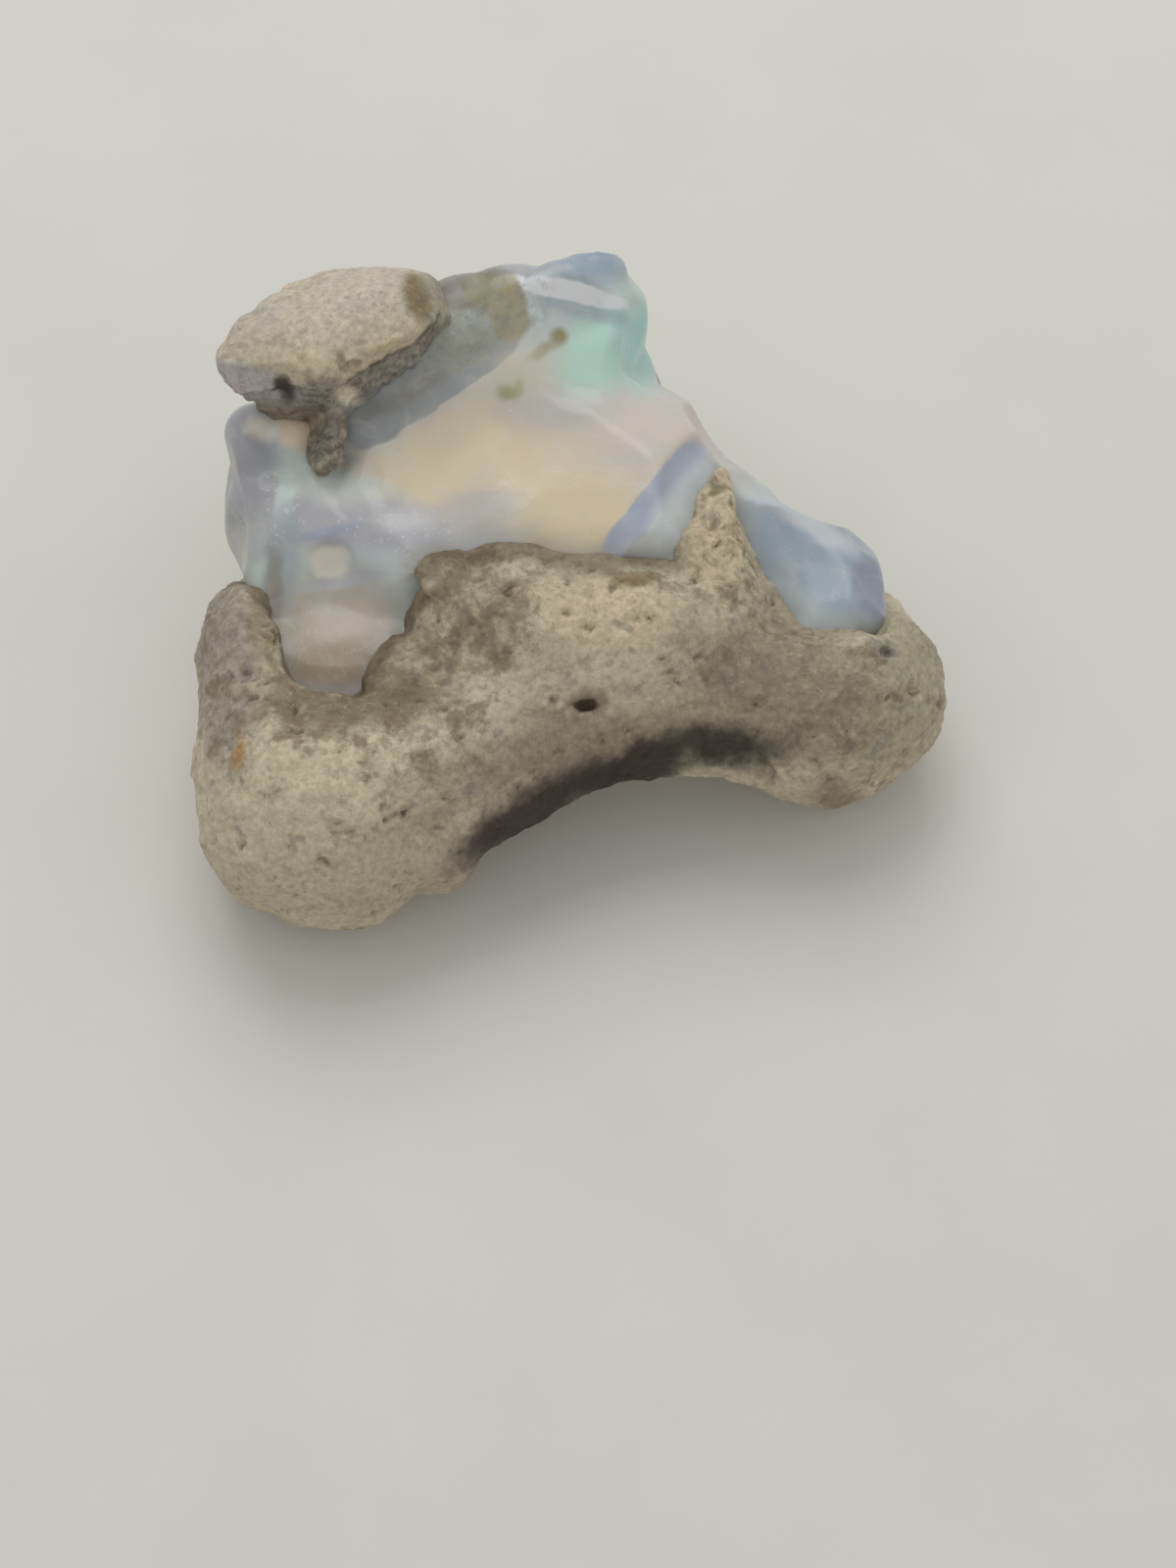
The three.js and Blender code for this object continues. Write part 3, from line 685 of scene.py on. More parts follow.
OPAL_PATCHES = (
    ("blush face", (0.8, 3.2, 9.7), (4.4, 2.6, 5.0), 0, 2, 0.5, "blush", 0.9),
    ("blush by the right edge", (3.4, 4.8, 9.0), (1.6, 1.5, 4.0), 0, 2, 0.6, "blush", 0.8),
    ("peach face", (-3.4, 2.7, 9.6), (3.7, 1.8, 4.0), 14, 2, 0.45, "peach", 0.95),
    ("warm strip by the band", (-2.9, 4.7, 10.2), (2.4, 0.8, 3.0), 44, 2, 0.6, "sand", 0.7),
    ("honey front", (0.2, 0.9, 9.2), (2.4, 1.5, 4.0), 8, 2, 0.45, "honey", 0.95),
    ("grey lilac above", (-0.9, 4.9, 10.2), (1.7, 1.2, 3.0), -12, 2, 0.6, "haze", 0.85),
    ("mint flash", (0.7, 6.5, 10.7), (1.5, 1.4, 4.0), 0, 2, 0.5, "mint", 0.95),
    ("green blue edge", (2.2, 7.8, 10.1), (0.75, 2.0, 4.0), 8, 2, 0.5, "teal", 0.9),
    ("pale blue by the crust", (-1.1, 7.4, 11.4), (1.0, 1.6, 3.0), 0, 2, 0.5, "sky", 0.85),
    ("pale mint over the crown", (1.7, 9.0, 11.0), (1.0, 0.9, 2.5), -30, 2, 0.6, "pale mint", 0.7),
    ("blue crown", (0.4, 9.6, 11.9), (1.7, 1.0, 3.0), -8, 2, 0.45, "blue", 0.97),
    ("deeper crown", (0.6, 9.9, 12.0), (1.3, 0.5, 2.0), -8, 2, 0.6, "dusk", 0.35),
    ("grey back under the crust", (-8.2, 7.6, 8.2), (4.2, 2.2, 2.0), 0, 2, 0.5, "haze", 0.8),
    ("grey crown, left", (-1.8, 9.2, 11.9), (1.2, 0.6, 3.0), 6, 2, 0.5, "pewter", 0.5),
    ("shade under the bright facet", (0.5, 7.9, 11.1), (2.1, 0.3, 1.5), -11, 2, 0.6, "blue", 0.55),
    # Painted highlight: a bright pale violet streak along the narrow facet, standing for the light's
    # reflection.
    ("bright facet", (0.15, 8.35, 11.5), (2.5, 0.36, 1.6), -12, 1.7, 0.16, "lavender", 0.97),
    ("rock seen through the opal", (-4.7, 5.55, 10.2), (3.5, 0.84, 2.6), 35, 4, 0.06, "slate", 0.9),
    ("foot of that rock", (-6.8, 3.9, 9.9), (1.1, 0.5, 2.0), 4, 3, 0.12, "slate", 0.8),
    ("brown core of that rock", (-5.2, 5.4, 10.2), (2.0, 0.34, 2.0), 35, 2, 0.6, "bark", 0.7),
    ("green grey end of that rock", (-3.5, 7.0, 10.9), (1.7, 0.9, 2.4), 40, 2, 0.3, "moss", 0.92),
    ("film, grey brown", (-3.6, 8.3, 11.9), (1.6, 0.85, 2.5), -4, 3, 0.3, "ash", 0.9),
    ("film, olive end", (-2.15, 7.75, 11.5), (0.68, 1.15, 2.5), 12, 3, 0.16, "khaki", 0.95),
    ("brown spots in the film", (-3.1, 8.3, 11.8), (0.5, 0.6, 2.5), -30, 2, 0.7, "olive", 0.8),
    ("brown spot by the cap", (-4.0, 8.0, 11.8), (0.35, 0.25, 2.5), 10, 2, 0.7, "bark", 0.9),
    ("ochre spot in the film", (-2.2, 8.3, 11.7), (0.35, 0.2, 2.5), 20, 2, 0.7, "ochre", 0.6),
    ("upper speck", (-0.45, 6.95, 10.9), (0.26, 0.3, 1.5), -30, 2, 0.55, "olive", 0.95),
    ("tail of the upper speck", (-1.0, 6.5, 10.8), (0.5, 0.17, 1.5), 32, 2, 0.7, "olive", 0.8),
    ("lower speck", (-2.05, 5.2, 10.2), (0.42, 0.24, 1.5), 8, 2, 0.6, "olive", 0.85),
    ("lower speck, right end", (-1.75, 5.4, 10.3), (0.16, 0.26, 1.5), 0, 2, 0.7, "olive", 0.6),
    ("veil round the specks", (-1.4, 5.9, 10.6), (1.0, 1.0, 2.0), 35, 2, 0.8, "sand", 0.5),
    ("violet stripe", (2.85, 1.5, 9.2), (2.5, 0.5, 3.0), 51, 5, 0.13, "violet", 0.95),
    ("pale wedge", (3.9, 1.8, 8.8), (2.3, 0.62, 3.0), 53, 2, 0.45, "sky", 0.95),
    ("pale top of the stripe", (4.0, 2.9, 9.0), (0.9, 0.5, 2.0), 51, 2, 0.6, "sky", 0.3),
    ("pale foot of the stripe", (2.4, 0.0, 8.3), (0.9, 0.4, 2.0), 10, 2, 0.6, "snow", 0.5),
    ("blue hump", (8.1, 0.5, 6.9), (2.8, 2.3, 4.0), -24, 2, 0.4, "blue", 0.95),
    ("pale foot of the hump", (7.4, -1.2, 7.0), (2.0, 0.6, 3.0), -28, 2, 0.6, "pale mint", 0.5),
    ("violet edge of the hump", (10.2, -0.2, 6.5), (0.62, 1.4, 3.0), 22, 2.5, 0.4, "dusk", 0.9),
    ("pale top of the hump", (8.4, 1.8, 6.9), (1.6, 0.35, 2.0), -32, 2, 0.6, "snow", 0.5),
    ("grey left lobe", (-11.2, 3.2, 8.6), (1.6, 2.2, 4.0), 0, 2, 0.4, "pewter", 0.97),
    ("warm top of the left lobe", (-10.2, 3.9, 9.9), (0.7, 0.45, 2.0), 0, 2, 0.5, "cream", 0.9),
    ("orange flash", (-8.95, 3.75, 9.85), (0.85, 0.62, 2.5), 0, 3, 0.3, "orange", 1.0),
    # The opal's turquoise flash, brightened as a painted highlight.
    ("turquoise flash with a painted highlight", (-9.6, 1.6, 9.0), (0.3, 0.85, 2.0), -8, 3, 0.4, "turquoise", 0.95),
    ("mint band", (-7.8, 2.1, 9.1), (2.0, 0.5, 3.0), -12, 2, 0.6, "pale mint", 0.75),
    ("lilac ridge", (-6.8, 0.6, 9.0), (3.0, 0.85, 3.0), -4, 2.5, 0.35, "lilac", 0.85),
    ("dark arc on the ridge", (-8.2, 0.5, 8.7), (1.2, 0.2, 2.0), 10, 2, 0.35, "violet", 0.6),
    ("white of the mint band", (-8.0, 1.8, 9.1), (1.3, 0.5, 2.0), -12, 2, 0.6, "snow", 0.5),
    # Painted highlight: a white patch on the ridge.
    ("painted highlight on the ridge", (-5.6, 0.5, 9.3), (1.0, 0.36, 2.0), 10, 2, 0.6, "snow", 0.5),
    ("grey oval", (-3.0, 1.3, 9.1), (1.4, 0.55, 3.0), 4, 2, 0.6, "haze", 0.8),
    ("blue left of the pool", (-9.8, -0.5, 7.6), (0.6, 1.9, 3.0), -8, 2.5, 0.4, "steel", 0.9),
    # Painted shadow: a dark line along the opal's edge where it meets the rock's left wall.
    ("painted shadow at the edge left of the pool", (-10.0, -1.2, 7.2), (0.32, 1.6, 2.5), -4, 3, 0.5, "bark", 0.9),
    ("fawn pool", (-7.8, -2.2, 7.2), (2.1, 1.6, 3.0), 0, 2, 0.45, "fawn", 0.95),
    ("blush over the pool", (-7.6, -2.0, 7.4), (1.1, 0.8, 3.0), 20, 2, 0.6, "blush", 0.45),
    ("lilac arc under the window", (-7.8, -0.95, 7.9), (1.5, 0.22, 2.0), 8, 3, 0.3, "lilac", 0.8),
    ("peach window", (-8.1, -0.35, 8.1), (0.66, 0.52, 1.6), 0, 3.2, 0.25, "cream", 0.95),
    ("amber foot of the pool", (-8.0, -3.6, 6.8), (2.0, 0.8, 2.5), 4, 2, 0.6, "amber", 0.9),
)
FILM = (
    ("film", (-3.2, 8.2, 11.7), (2.2, 1.1, 3.0), -10, 3, 0.4, 1.0),
    ("band below the film", (-4.0, 6.6, 10.8), (2.0, 0.9, 3.0), 36, 2, 0.5, 0.5),
)
# Painted glints: zones where small white specks are painted into the opal's colour as highlights.
PAINTED_GLINTS = (
    ("glints on the ridge", (-6.0, 0.3, 9.2), (2.4, 0.9, 3.0), 0, 2, 0.5, 0.75),
    ("glints in the pool", (-7.6, -2.6, 7.3), (1.8, 1.2, 3.0), 0, 2, 0.5, 0.3),
    ("glints by the lobe", (-9.7, 1.4, 8.9), (0.8, 1.2, 3.0), 0, 2, 0.5, 1.0),
    ("glints by the band", (-3.9, 7.2, 11.3), (0.7, 0.35, 2.0), 20, 2, 0.6, 0.8),
)


# The stone's middle, then the big light's place from it and its size, all in millimetres.
STONE_MIDDLE = (0, 0, 6)
KEY_PLACE = (-20, 120, 190)
KEY_SIZE = 160
# The camera aims this far right of the stone's middle and below it, through a lens of this length.
AIM_RIGHT = 17 / 30
AIM_DOWN = 200 / 30
LENS = 81


# The colours are linear red, green and blue.
TUFF_COLOURS = (
    ("pale", "Weathered, pale tuff", (0.585, 0.52, 0.384)),
    ("cream", "Creamy tuff", (0.62, 0.51, 0.352)),
    ("middle", "Fresh tuff", (0.47, 0.405, 0.305)),
    ("drab", "Grey brown tuff", (0.275, 0.23, 0.17)),
    ("brown", "Brown blotches", (0.235, 0.18, 0.125)),
    ("olive", "Olive tuff", (0.38, 0.35, 0.25)),
    ("dark olive", "Dark olive stains", (0.17, 0.15, 0.085)),
    ("lilac", "Lilac grey tuff", (0.34, 0.295, 0.255)),
    ("rust", "Rusty spots", (0.19, 0.13, 0.06)),
    ("orange", "Orange spot", (0.40, 0.25, 0.10)),
    # Painted shade: the dark brown that stands for the shade in hollows, in the crust's pit, under the
    # crust's rim and under the rock's overhanging lip.
    ("stain", "Dark brown stain", (0.05, 0.038, 0.03)),
    ("grey", "Blue grey grains", (0.15, 0.155, 0.15)),
    ("slate", "Greenish grey tuff", (0.30, 0.305, 0.29)),
    ("mauve", "Lilac grey lower edge of the crust", (0.50, 0.475, 0.46)),
    ("ash", "Grey brown film beside the crust", (0.32, 0.295, 0.235)),
    ("rim", "Dark line where the tuff meets the opal", (0.12, 0.09, 0.055)),
    ("gold", "Pale crystals in the wall", (0.75, 0.67, 0.52)),
    ("wall", "Fresh break under the crust's rim", (0.31, 0.28, 0.235)),
    ("grit", "Dark grains", (0.085, 0.07, 0.055)),
)
OPAL_COLOURS = (
    ("depth colour", "What the opal's depth lets through", (0.80, 0.86, 0.90)),
    ("milk", "Milky body", (0.80, 0.77, 0.71)),
    ("blush", "Pinkish body", (0.82, 0.735, 0.66)),
    ("peach", "Peach flash", (0.95, 0.80, 0.59)),
    ("sand", "Warm sandy body", (0.78, 0.68, 0.51)),
    ("honey", "Honey yellow", (0.94, 0.79, 0.55)),
    ("cream", "Cream window", (1.0, 0.95, 0.83)),
    ("amber", "Amber foot", (0.37, 0.265, 0.17)),
    ("orange", "Orange flash", (1.0, 0.78, 0.60)),
    ("haze", "Grey haze", (0.64, 0.63, 0.60)),
    ("lilac", "Grey lilac", (0.63, 0.63, 0.69)),
    # The bright colour of the painted highlight on the narrow facet.
    ("lavender", "Bright lavender", (0.93, 0.95, 1.0)),
    ("sky", "Pale blue", (0.73, 0.80, 0.82)),
    ("blue", "Clear blue", (0.41, 0.51, 0.61)),
    ("fawn", "Tuff that shows through the pool", (0.54, 0.46, 0.355)),
    ("pewter", "Plain grey", (0.47, 0.47, 0.52)),
    ("dusk", "Dark blue violet", (0.36, 0.39, 0.52)),
    ("olive", "Olive brown specks", (0.37, 0.345, 0.17)),
    ("ochre", "Ochre spot in the film", (0.46, 0.36, 0.20)),
    ("ash", "Grey brown film", (0.25, 0.225, 0.185)),
    ("khaki", "Olive brown film", (0.48, 0.44, 0.30)),
    ("steel", "Blue grey", (0.48, 0.56, 0.61)),
    ("violet", "Blue violet", (0.49, 0.54, 0.70)),
    ("mint", "Mint green", (0.62, 0.90, 0.80)),
    ("pale mint", "Pale mint", (0.74, 0.84, 0.78)),
    ("teal", "Green blue", (0.54, 0.86, 0.84)),
    ("turquoise", "Bright turquoise", (0.84, 1.0, 0.97)),
    # Snow is also the white of the painted glints and of the painted highlight on the ridge.
    ("snow", "White veils and glints", (0.93, 0.93, 0.93)),
    ("slate", "Dark rock that shows through", (0.42, 0.44, 0.46)),
    ("bark", "Brown rock that shows through", (0.36, 0.345, 0.31)),
    ("moss", "Greenish rock that shows through", (0.53, 0.56, 0.475)),
)


def length_prop(label, description, default):
    """A size in metres."""
    return bpy.props.FloatProperty(
        name=label, description=description, default=default, min=0.0, unit="LENGTH", precision=5
    )


def colour_prop(label, description, default):
    """A colour, as linear red, green and blue."""
    return bpy.props.FloatVectorProperty(
        name=label, description=description, default=default, min=0.0, max=1.0, size=3, subtype="COLOR"
    )


def add_colours(look, rows):
    """Adds a property for each named colour to a property group."""
    for name, description, default in rows:
        prop = colour_prop(name.capitalize(), description, default)
        look.__annotations__[name.replace(" ", "_")] = prop


def share_prop(label, description, default, top=1.0):
    """A share or a plain factor."""
    return bpy.props.FloatProperty(
        name=label, description=description, default=default, min=0.0, max=top, subtype="FACTOR"
    )


class TuffLook(bpy.types.PropertyGroup):
    """Sizes and colours of the host rock and its crust."""

    cell: length_prop("Face size", "Size of the faces of the rock's skin", 0.14 * MM)
    crust_cell: length_prop("Crust face size", "Size of the faces of the crust's skin", 0.1 * MM)
    swells: length_prop("Swells", "Height of the rock's broad lumps", 0.55 * MM)
    lumps: length_prop("Lumps", "Height of the rock's small lumps", 0.34 * MM)
    grains: length_prop("Grains", "Height of the tuff's grains", 0.2 * MM)
    pits: length_prop("Pits", "Depth of the tuff's irregular pits", 0.2 * MM)


class OpalLook(bpy.types.PropertyGroup):
    """Sizes, gloss and colours of the opal."""

    cell: length_prop("Face size", "Size of the faces of the opal's skin", 0.12 * MM)
    ripples: length_prop("Ripples", "Height of the ripples on the broken faces", 0.05 * MM)
    clearness: share_prop("Clearness", "Share of the light that goes through", 0.22)
    roughness: share_prop("Roughness", "Roughness of the glassy skin", 0.16)
    density: share_prop("Density", "How strongly its depth takes light away, for each metre", 60.0, 1000.0)


add_colours(TuffLook, TUFF_COLOURS)
add_colours(OpalLook, OPAL_COLOURS)


class StageLook(bpy.types.PropertyGroup):
    """Floor, light and camera."""

    floor: colour_prop("Floor", "Pale surface", (0.725, 0.722, 0.67))
    tilt: bpy.props.FloatProperty(
        name="Camera tilt",
        description="How far the camera looks down",
        default=VIEW_TILT,
        subtype="ANGLE",
    )
    distance: length_prop("Camera distance", "From the camera to the stone", 120 * MM)
    key: bpy.props.FloatProperty(
        name="Key light", description="Power of the big soft light", default=0.18, min=0.0, unit="POWER"
    )
    sky: share_prop("Sky", "Strength of the even light all round", 0.58)


def colours_of(look):
    """Every colour of a property group by its plain name."""
    names = [name for name, prop in look.bl_rna.properties.items() if getattr(prop, "array_length", 0) == 3]
    return {name.replace("_", " "): rgba(getattr(look, name)) for name in names}


def tuff_material(name, patches, stained, stains_and_shadows, ground, relief, wander):
    """Tuff with its grain, painted shade in its hollows and paler raised grains between the named patches,
    and the brown marks and painted shadows over all of it.

    ground is two colours, then the blotches' colour and share. The patches' edges wander by that much."""
    colours = colours_of(bpy.context.scene.tuff_look)
    material, graph, shader = new_material(name)
    position = graph.node("ShaderNodeTexCoord").outputs["Object"]
    _, drift = graph.noise(position, 1.3 * MM, 4, 0.6)
    shift = graph.scaled(graph.vector("SUBTRACT", drift, (0.5, 0.5, 0.5)), wander)
    warped = graph.vector("ADD", position, shift)
    inputs = {"Position": position, "Stained": zone(graph, warped, stained)}
    out = graph.node("ShaderNodeGroup", inputs, node_tree=tuff_group()).outputs
    colour = graph.mix(out["Mottle"], colours[ground[0]], colours[ground[1]])
    crumbly, _ = graph.noise(position, 0.3 * MM, 4, 0.7)
    broken = graph.mix(graph.step(crumbly, 0.42, 0.62, 0.0, 0.75), colours["wall"], colours["grit"])
    colour = graph.mix(graph.times(graph.marked("wall"), 0.95), colour, broken)
    colour = add_patches(graph, colour, warped, patches, colours)
    colour = graph.mix(graph.times(out["Blotch"], ground[3]), colour, colours[ground[2]])
    colour = graph.mix(graph.times(out["Pale"], 0.28), colour, colours["cream"])
    colour = graph.mix(graph.times(out["Grey"], 0.4), colour, colours["grey"])
    colour = graph.mix(graph.times(out["Grit"], 0.24), colour, colours["grit"])
    # Painted shade: the hollow mark darkens hollows, and the line under the crust's rim, towards the
    # painted shade; raised grains turn paler.
    hollow = graph.marked("hollow")
    colour = graph.mix(graph.step(hollow, 0.6, 1.0, 0.0, 0.4), colour, colours["stain"])
    colour = graph.mix(graph.step(hollow, 0.46, 0.2, 0.0, 0.3), colour, colours["pale"])
    rim = graph.times(graph.marked("contact"), zone(graph, position, DARK_RIM))
    colour = graph.mix(graph.times(rim, 0.75), colour, colours["rim"])
    # Last come the rock's brown marks with the painted shadows and painted shade.
    colour = add_patches(graph, colour, warped, stains_and_shadows, colours)
    colour = graph.mix(1.0, colour, shade_of(graph, out["Shade"]), "MULTIPLY")
    bump = graph.node("ShaderNodeBump", {"Height": out["Height"], "Distance": relief, "Strength": 0.8})
    values = {
        "Base Color": colour,
        "Roughness": graph.step(out["Blotch"], 0.0, 1.0, 0.86, 0.97),
        "Normal": bump.outputs[0],
        "Specular IOR Level": 0.25,
    }
    graph.fill(shader, values)
    return material


def shade_of(graph, value):
    """A grey with this brightness."""
    return graph.node("ShaderNodeCombineXYZ", {0: value, 1: value, 2: value}).outputs[0]


def opal_material():
    """Milky opal with soft flashes of colour, which lets light through and takes some away in its depth."""
    look = bpy.context.scene.opal_look
    colours = colours_of(look)
    material, graph, shader = new_material("opal")
    position = graph.node("ShaderNodeTexCoord").outputs["Object"]
    _, wander = graph.noise(position, 1.1 * MM, 3, 0.5)
    shift = graph.scaled(graph.vector("SUBTRACT", wander, (0.5, 0.5, 0.5)), 0.4 * MM)
    warped = graph.vector("ADD", position, shift)
    first, _ = graph.noise(position, 3.6 * MM, 1, 0.4)
    second, _ = graph.noise(graph.vector("ADD", position, (0.02, 0.01, 0.0)), 3.0 * MM, 1, 0.4)
    colour = graph.mix(graph.step(first, 0.38, 0.62), colours["haze"], colours["sky"])
    colour = graph.mix(graph.step(second, 0.48, 0.64), colour, colours["pale mint"])
    colour = add_patches(graph, colour, warped, OPAL_PATCHES, colours)
    veil, _ = graph.noise(warped, 1.3 * MM, 5, 0.62, 1.0)
    colour = graph.mix(graph.step(veil, 0.46, 0.7, 0.0, 0.28), colour, colours["milk"])
    dusk, _ = graph.noise(graph.vector("ADD", position, (0, 0.02, 0.02)), 1.7 * MM, 4, 0.6, 0.6)
    colour = graph.mix(graph.step(dusk, 0.52, 0.74, 0.0, 0.16), colour, colours["steel"])
    specks, _ = graph.noise(position, 0.32 * MM, 4, 0.65)
    filmy = graph.times(graph.step(specks, 0.46, 0.64, 0.0, 0.75), zone(graph, position, FILM))
    colour = graph.mix(filmy, colour, colours["bark"])
    # Painted highlight: white glints painted into the colour in the zones of painted glints.
    glint, _ = graph.noise(position, 0.17 * MM, 2, 0.6)
    painted_glints = graph.times(graph.step(glint, 0.6, 0.67), zone(graph, warped, PAINTED_GLINTS))
    colour = graph.mix(graph.times(painted_glints, 0.7), colour, colours["snow"])
    thin = graph.times(graph.marked("thin"), 0.3)
    colour = graph.mix(thin, colour, colours["bark"])
    ripple, _ = graph.noise(position, 0.8 * MM, 4, 0.55, 0.5)
    bump = graph.node("ShaderNodeBump", {"Height": ripple, "Distance": 0.05 * MM, "Strength": 0.5})
    values = {
        "Base Color": colour,
        "Roughness": graph.step(veil, 0.3, 0.7, look.roughness, look.roughness + 0.12),
        "Normal": bump.outputs[0],
        "IOR": 1.45,
        "Specular IOR Level": 0.35,
        "Transmission Weight": look.clearness,
        "Subsurface Weight": 0.3,
        "Subsurface Radius": (1.0, 0.85, 0.7),
        "Subsurface Scale": 0.6 * MM,
    }
    graph.fill(shader, values)
    inputs = {"Color": rgba(look.depth_colour), "Density": look.density}
    depth = graph.node("ShaderNodeVolumeAbsorption", inputs)
    graph.join(depth.outputs[0], graph.tree.nodes["Material Output"].inputs["Volume"])
    return material


def dress(piece, node, material):
    """Puts the finished piece in the frame in place of its node."""
    select_only(piece)
    bpy.ops.object.shade_smooth()
    piece.data.materials.clear()
    piece.data.materials.append(material)
    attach(piece, BODY)
    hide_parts(node)


class OPAL_OT_host_rock(bpy.types.Operator):
    """Models the lump of tuff that the opal sits in"""

    bl_idname = "opal.host_rock"
    bl_label = "Host Rock"

    def execute(self, context):
        look = context.scene.tuff_look
        rock = copy_of_node("host_rock", "tuff_host")
        apply_modifier(rock, "SUBSURF", levels=1, render_levels=1)
        soften(rock, 3)
        rock = swell(rock, ROCK_SWELLS)
        reskin(rock, look.cell)
        dig(rock, ROCK_HOLLOWS)
        reskin(rock, look.cell)
        soften(rock, 3)
        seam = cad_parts["opal"]
        grow_onto(rock, seam, 0.8 * MM, 0.05 * MM)
        weigh(rock, "rough", 1 - 0.7 * fade(distance_to(rock, seam), 0.0, 1.0 * MM))
        roughen(rock, clouds("broad lumps", 2.3 * MM, 1), look.swells, 0.5, "rough")
        roughen(rock, clouds("small lumps", 0.95 * MM, 2), look.lumps, 0.5, "rough")
        roughen(rock, pits("irregular pits", 0.8 * MM, 0.25, 0.38), look.pits, 1.0, "rough")
        roughen(rock, clouds("grains", 0.36 * MM, 3), look.grains, 0.5, "rough")
        flatten_base(rock)
        mark(rock, "hollow", hollow_marks(rock, 8, 0.1 * MM))
        markings = (ROCK_PATCHES, STAINED_ROCK, ROCK_STAINS_AND_SHADOWS)
        ground = ("middle", "pale", "brown", 0.85)
        tuff = tuff_material("tuff", *markings, ground, 0.06 * MM, 1.5 * MM)
        dress(rock, "host_rock", tuff)
        return {"FINISHED"}


class OPAL_OT_seam(bpy.types.Operator):
    """Models the opal with its chipped faces and grows it onto the rock"""

    bl_idname = "opal.seam"
    bl_label = "Opal"

    def execute(self, context):
        look = context.scene.opal_look
        opal = copy_of_node("opal", "opal_seam")
        apply_modifier(opal, "SUBSURF", levels=2, render_levels=2)
        soften(opal, 5)
        opal = swell(opal, OPAL_SWELLS)
        reskin(opal, look.cell)
        dig(opal, OPAL_HOLLOWS)
        reskin(opal, look.cell)
        soften(opal, 6)
        for _, *row in OPAL_CHIPS:
            chip(opal, *row)
        reskin(opal, look.cell)
        soften(opal, 1)
        roughen(opal, clouds("opal ripples", 1.5 * MM, 1), look.ripples)
        rock = bpy.data.objects["tuff_host"]
        grow_onto(opal, rock, 0.9 * MM, 0.3 * MM)
        mark(opal, "thin", fade(distance_to(opal, rock), 0.1 * MM, 0.7 * MM))
        mark(rock, "contact", fade(distance_to(rock, opal), 0.4 * MM, 0.95 * MM))
        dress(opal, "opal", opal_material())
        return {"FINISHED"}


class OPAL_OT_crust(bpy.types.Operator):
    """Models the crust of tuff that is left on the opal, with its rim and the broken wall below"""

    bl_idname = "opal.crust"
    bl_label = "Rock Crust"

    def execute(self, context):
        look = context.scene.tuff_look
        crust = copy_of_node("rock_crust", "tuff_cap")
        apply_modifier(crust, "SUBSURF", levels=1, render_levels=1)
        soften(crust, 3)
        crust = swell(crust, CRUST_SWELLS)
        reskin(crust, look.crust_cell)
        soften(crust, 2)
        press_wall(crust)
        dig(crust, CAP_HOLLOWS)
        reskin(crust, look.crust_cell)
        soften(crust, 1)
        grow_onto(crust, bpy.data.objects["opal_seam"], 0.5 * MM, 0.15 * MM)
        front, below_rim, _ = wall_place(points_of(crust))
        x, y, _ = points_of(crust).T / MM
        steep = fade(normals_of(crust)[:, 2], 0.4, 0.75)
        drip = fade(np.abs(x - DRIP[0]), 0.6, 0.85) * fade(y, 3.7, 4.1)
        wall = np.maximum(fade(-front, 0.3, 0.7) * fade(-below_rim, -0.05, 0.2) * steep, drip)
        # Painted shadow: a dark line on the broken wall just under its rim, put into the hollow mark below.
        line = wall * (1 - drip) * fade(np.abs(below_rim), 0.14, 0.32)
        weigh(crust, "broken", wall)
        roughen(crust, clouds("crust lumps", 0.9 * MM), 0.22 * MM)
        roughen(crust, clouds("broken grains", 0.4 * MM, 2), 0.36 * MM, 0.5, "broken")
        roughen(crust, clouds("crust grains", 0.26 * MM, 3), 0.1 * MM)
        mark(crust, "wall", wall)
        mark(crust, "hollow", np.maximum(hollow_marks(crust, 6, 0.09 * MM), line))
        markings = (CRUST_PATCHES, STAINED_CRUST, CRUST_STAINS_AND_SHADE)
        ground = ("pale", "cream", "drab", 0.35)
        tuff = tuff_material("crust tuff", *markings, ground, 0.05 * MM, 0.6 * MM)
        dress(crust, "rock_crust", tuff)
        return {"FINISHED"}


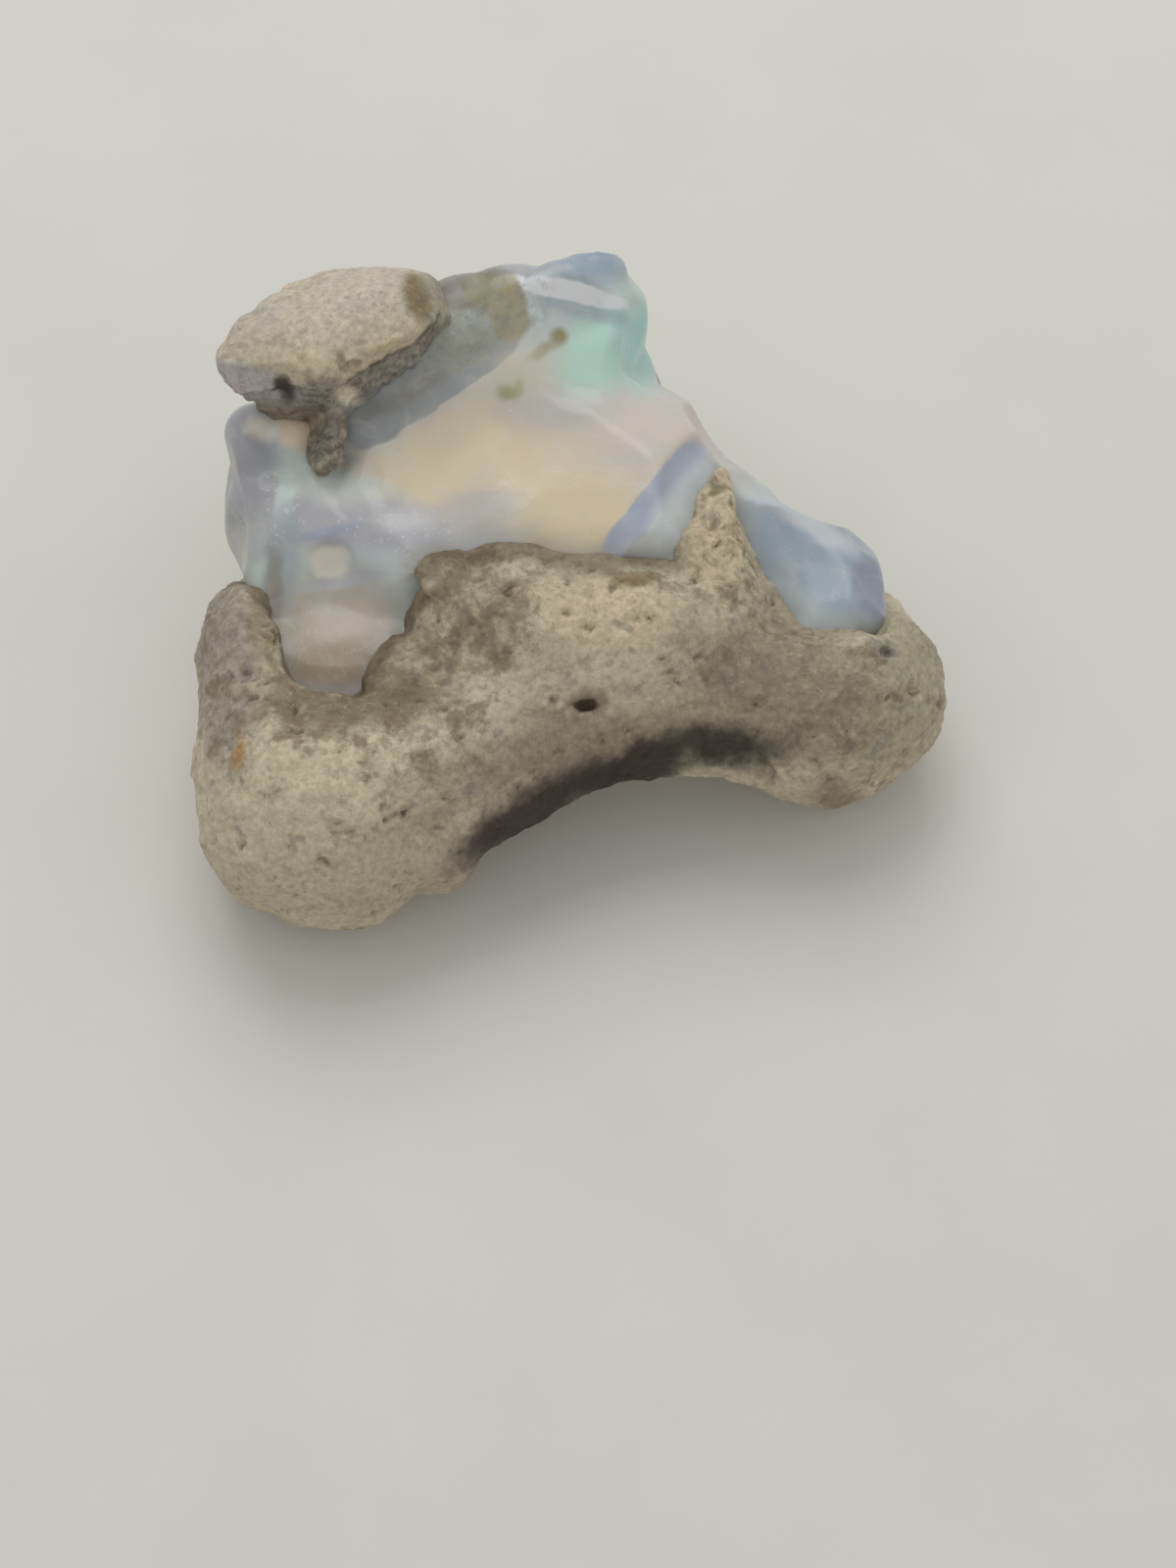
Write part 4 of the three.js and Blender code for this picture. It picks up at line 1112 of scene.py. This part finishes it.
class OPAL_OT_stage(bpy.types.Operator):
    """Sets the floor, the lights and the camera"""

    bl_idname = "opal.stage"
    bl_label = "Stage"

    def execute(self, context):
        look = context.scene.stage_look
        bpy.ops.object.select_all(action="DESELECT")
        bpy.ops.mesh.primitive_plane_add(size=2.0, location=(0, 0, 0))
        floor = context.active_object
        floor.name = "floor"
        material, graph, shader = new_material("floor")
        position = graph.node("ShaderNodeTexCoord").outputs["Object"]
        cloudy, _ = graph.noise(position, 9 * MM, 4, 0.55)
        darker = rgba([part * 0.97 for part in look.floor])
        shade = graph.mix(graph.step(cloudy, 0.3, 0.7), rgba(look.floor), darker)
        graph.fill(shader, {"Base Color": shade, "Roughness": 0.7})
        floor.data.materials.append(material)
        world = bpy.data.worlds.new("even light")
        world.use_nodes = True
        world.node_tree.nodes["Background"].inputs["Color"].default_value = (1, 1, 0.98, 1)
        world.node_tree.nodes["Background"].inputs["Strength"].default_value = look.sky
        context.scene.world = world
        middle = Vector(STONE_MIDDLE) * MM
        place = middle + Vector(KEY_PLACE) * MM
        bpy.ops.object.light_add(type="AREA", location=place)
        key = context.active_object
        key.name = "key light"
        key.data.size = KEY_SIZE * MM
        key.data.energy = look.key
        key.rotation_mode = "QUATERNION"
        key.rotation_quaternion = (middle - place).to_track_quat("-Z", "Y")
        ahead = Vector((0, math.cos(look.tilt), -math.sin(look.tilt)))
        up = Vector((0, math.sin(look.tilt), math.cos(look.tilt)))
        aim = middle + Vector((AIM_RIGHT * MM, 0, 0)) - up * (AIM_DOWN * MM)
        bpy.ops.object.camera_add(location=aim - ahead * look.distance)
        camera = context.active_object
        camera.rotation_mode = "XYZ"
        camera.rotation_euler = (math.pi / 2 - look.tilt, 0, 0)
        camera.data.sensor_width = 36
        camera.data.lens = LENS
        camera.data.clip_start = 5 * MM
        camera.data.clip_end = 10
        context.scene.camera = camera
        context.scene.view_settings.view_transform = "Standard"
        return {"FINISHED"}


class OPAL_PT_panel(bpy.types.Panel):
    """Shows a button for each step that builds the stone"""

    bl_idname = "OPAL_PT_panel"
    bl_label = "Rough Opal"
    bl_space_type = "VIEW_3D"
    bl_region_type = "UI"
    bl_category = "Opal"

    def draw(self, context):
        for operator in OPERATORS:
            self.layout.operator(operator.bl_idname)


LOOKS = (("tuff_look", TuffLook), ("opal_look", OpalLook), ("stage_look", StageLook))
OPERATORS = (OPAL_OT_host_rock, OPAL_OT_seam, OPAL_OT_crust, OPAL_OT_stage)


def register():
    """Adds the classes and the property groups."""
    for name, kind in LOOKS:
        bpy.utils.register_class(kind)
        setattr(bpy.types.Scene, name, bpy.props.PointerProperty(type=kind))
    for kind in (*OPERATORS, OPAL_PT_panel):
        bpy.utils.register_class(kind)


def unregister():
    """Takes them out again."""
    for kind in reversed((*OPERATORS, OPAL_PT_panel)):
        bpy.utils.unregister_class(kind)
    for name, kind in reversed(LOOKS):
        delattr(bpy.types.Scene, name)
        bpy.utils.unregister_class(kind)


def main():
    """Builds the pieces in order."""
    register()
    bpy.ops.opal.host_rock()
    bpy.ops.opal.seam()
    bpy.ops.opal.crust()
    bpy.ops.opal.stage()


if __name__ == "__main__":
    main()
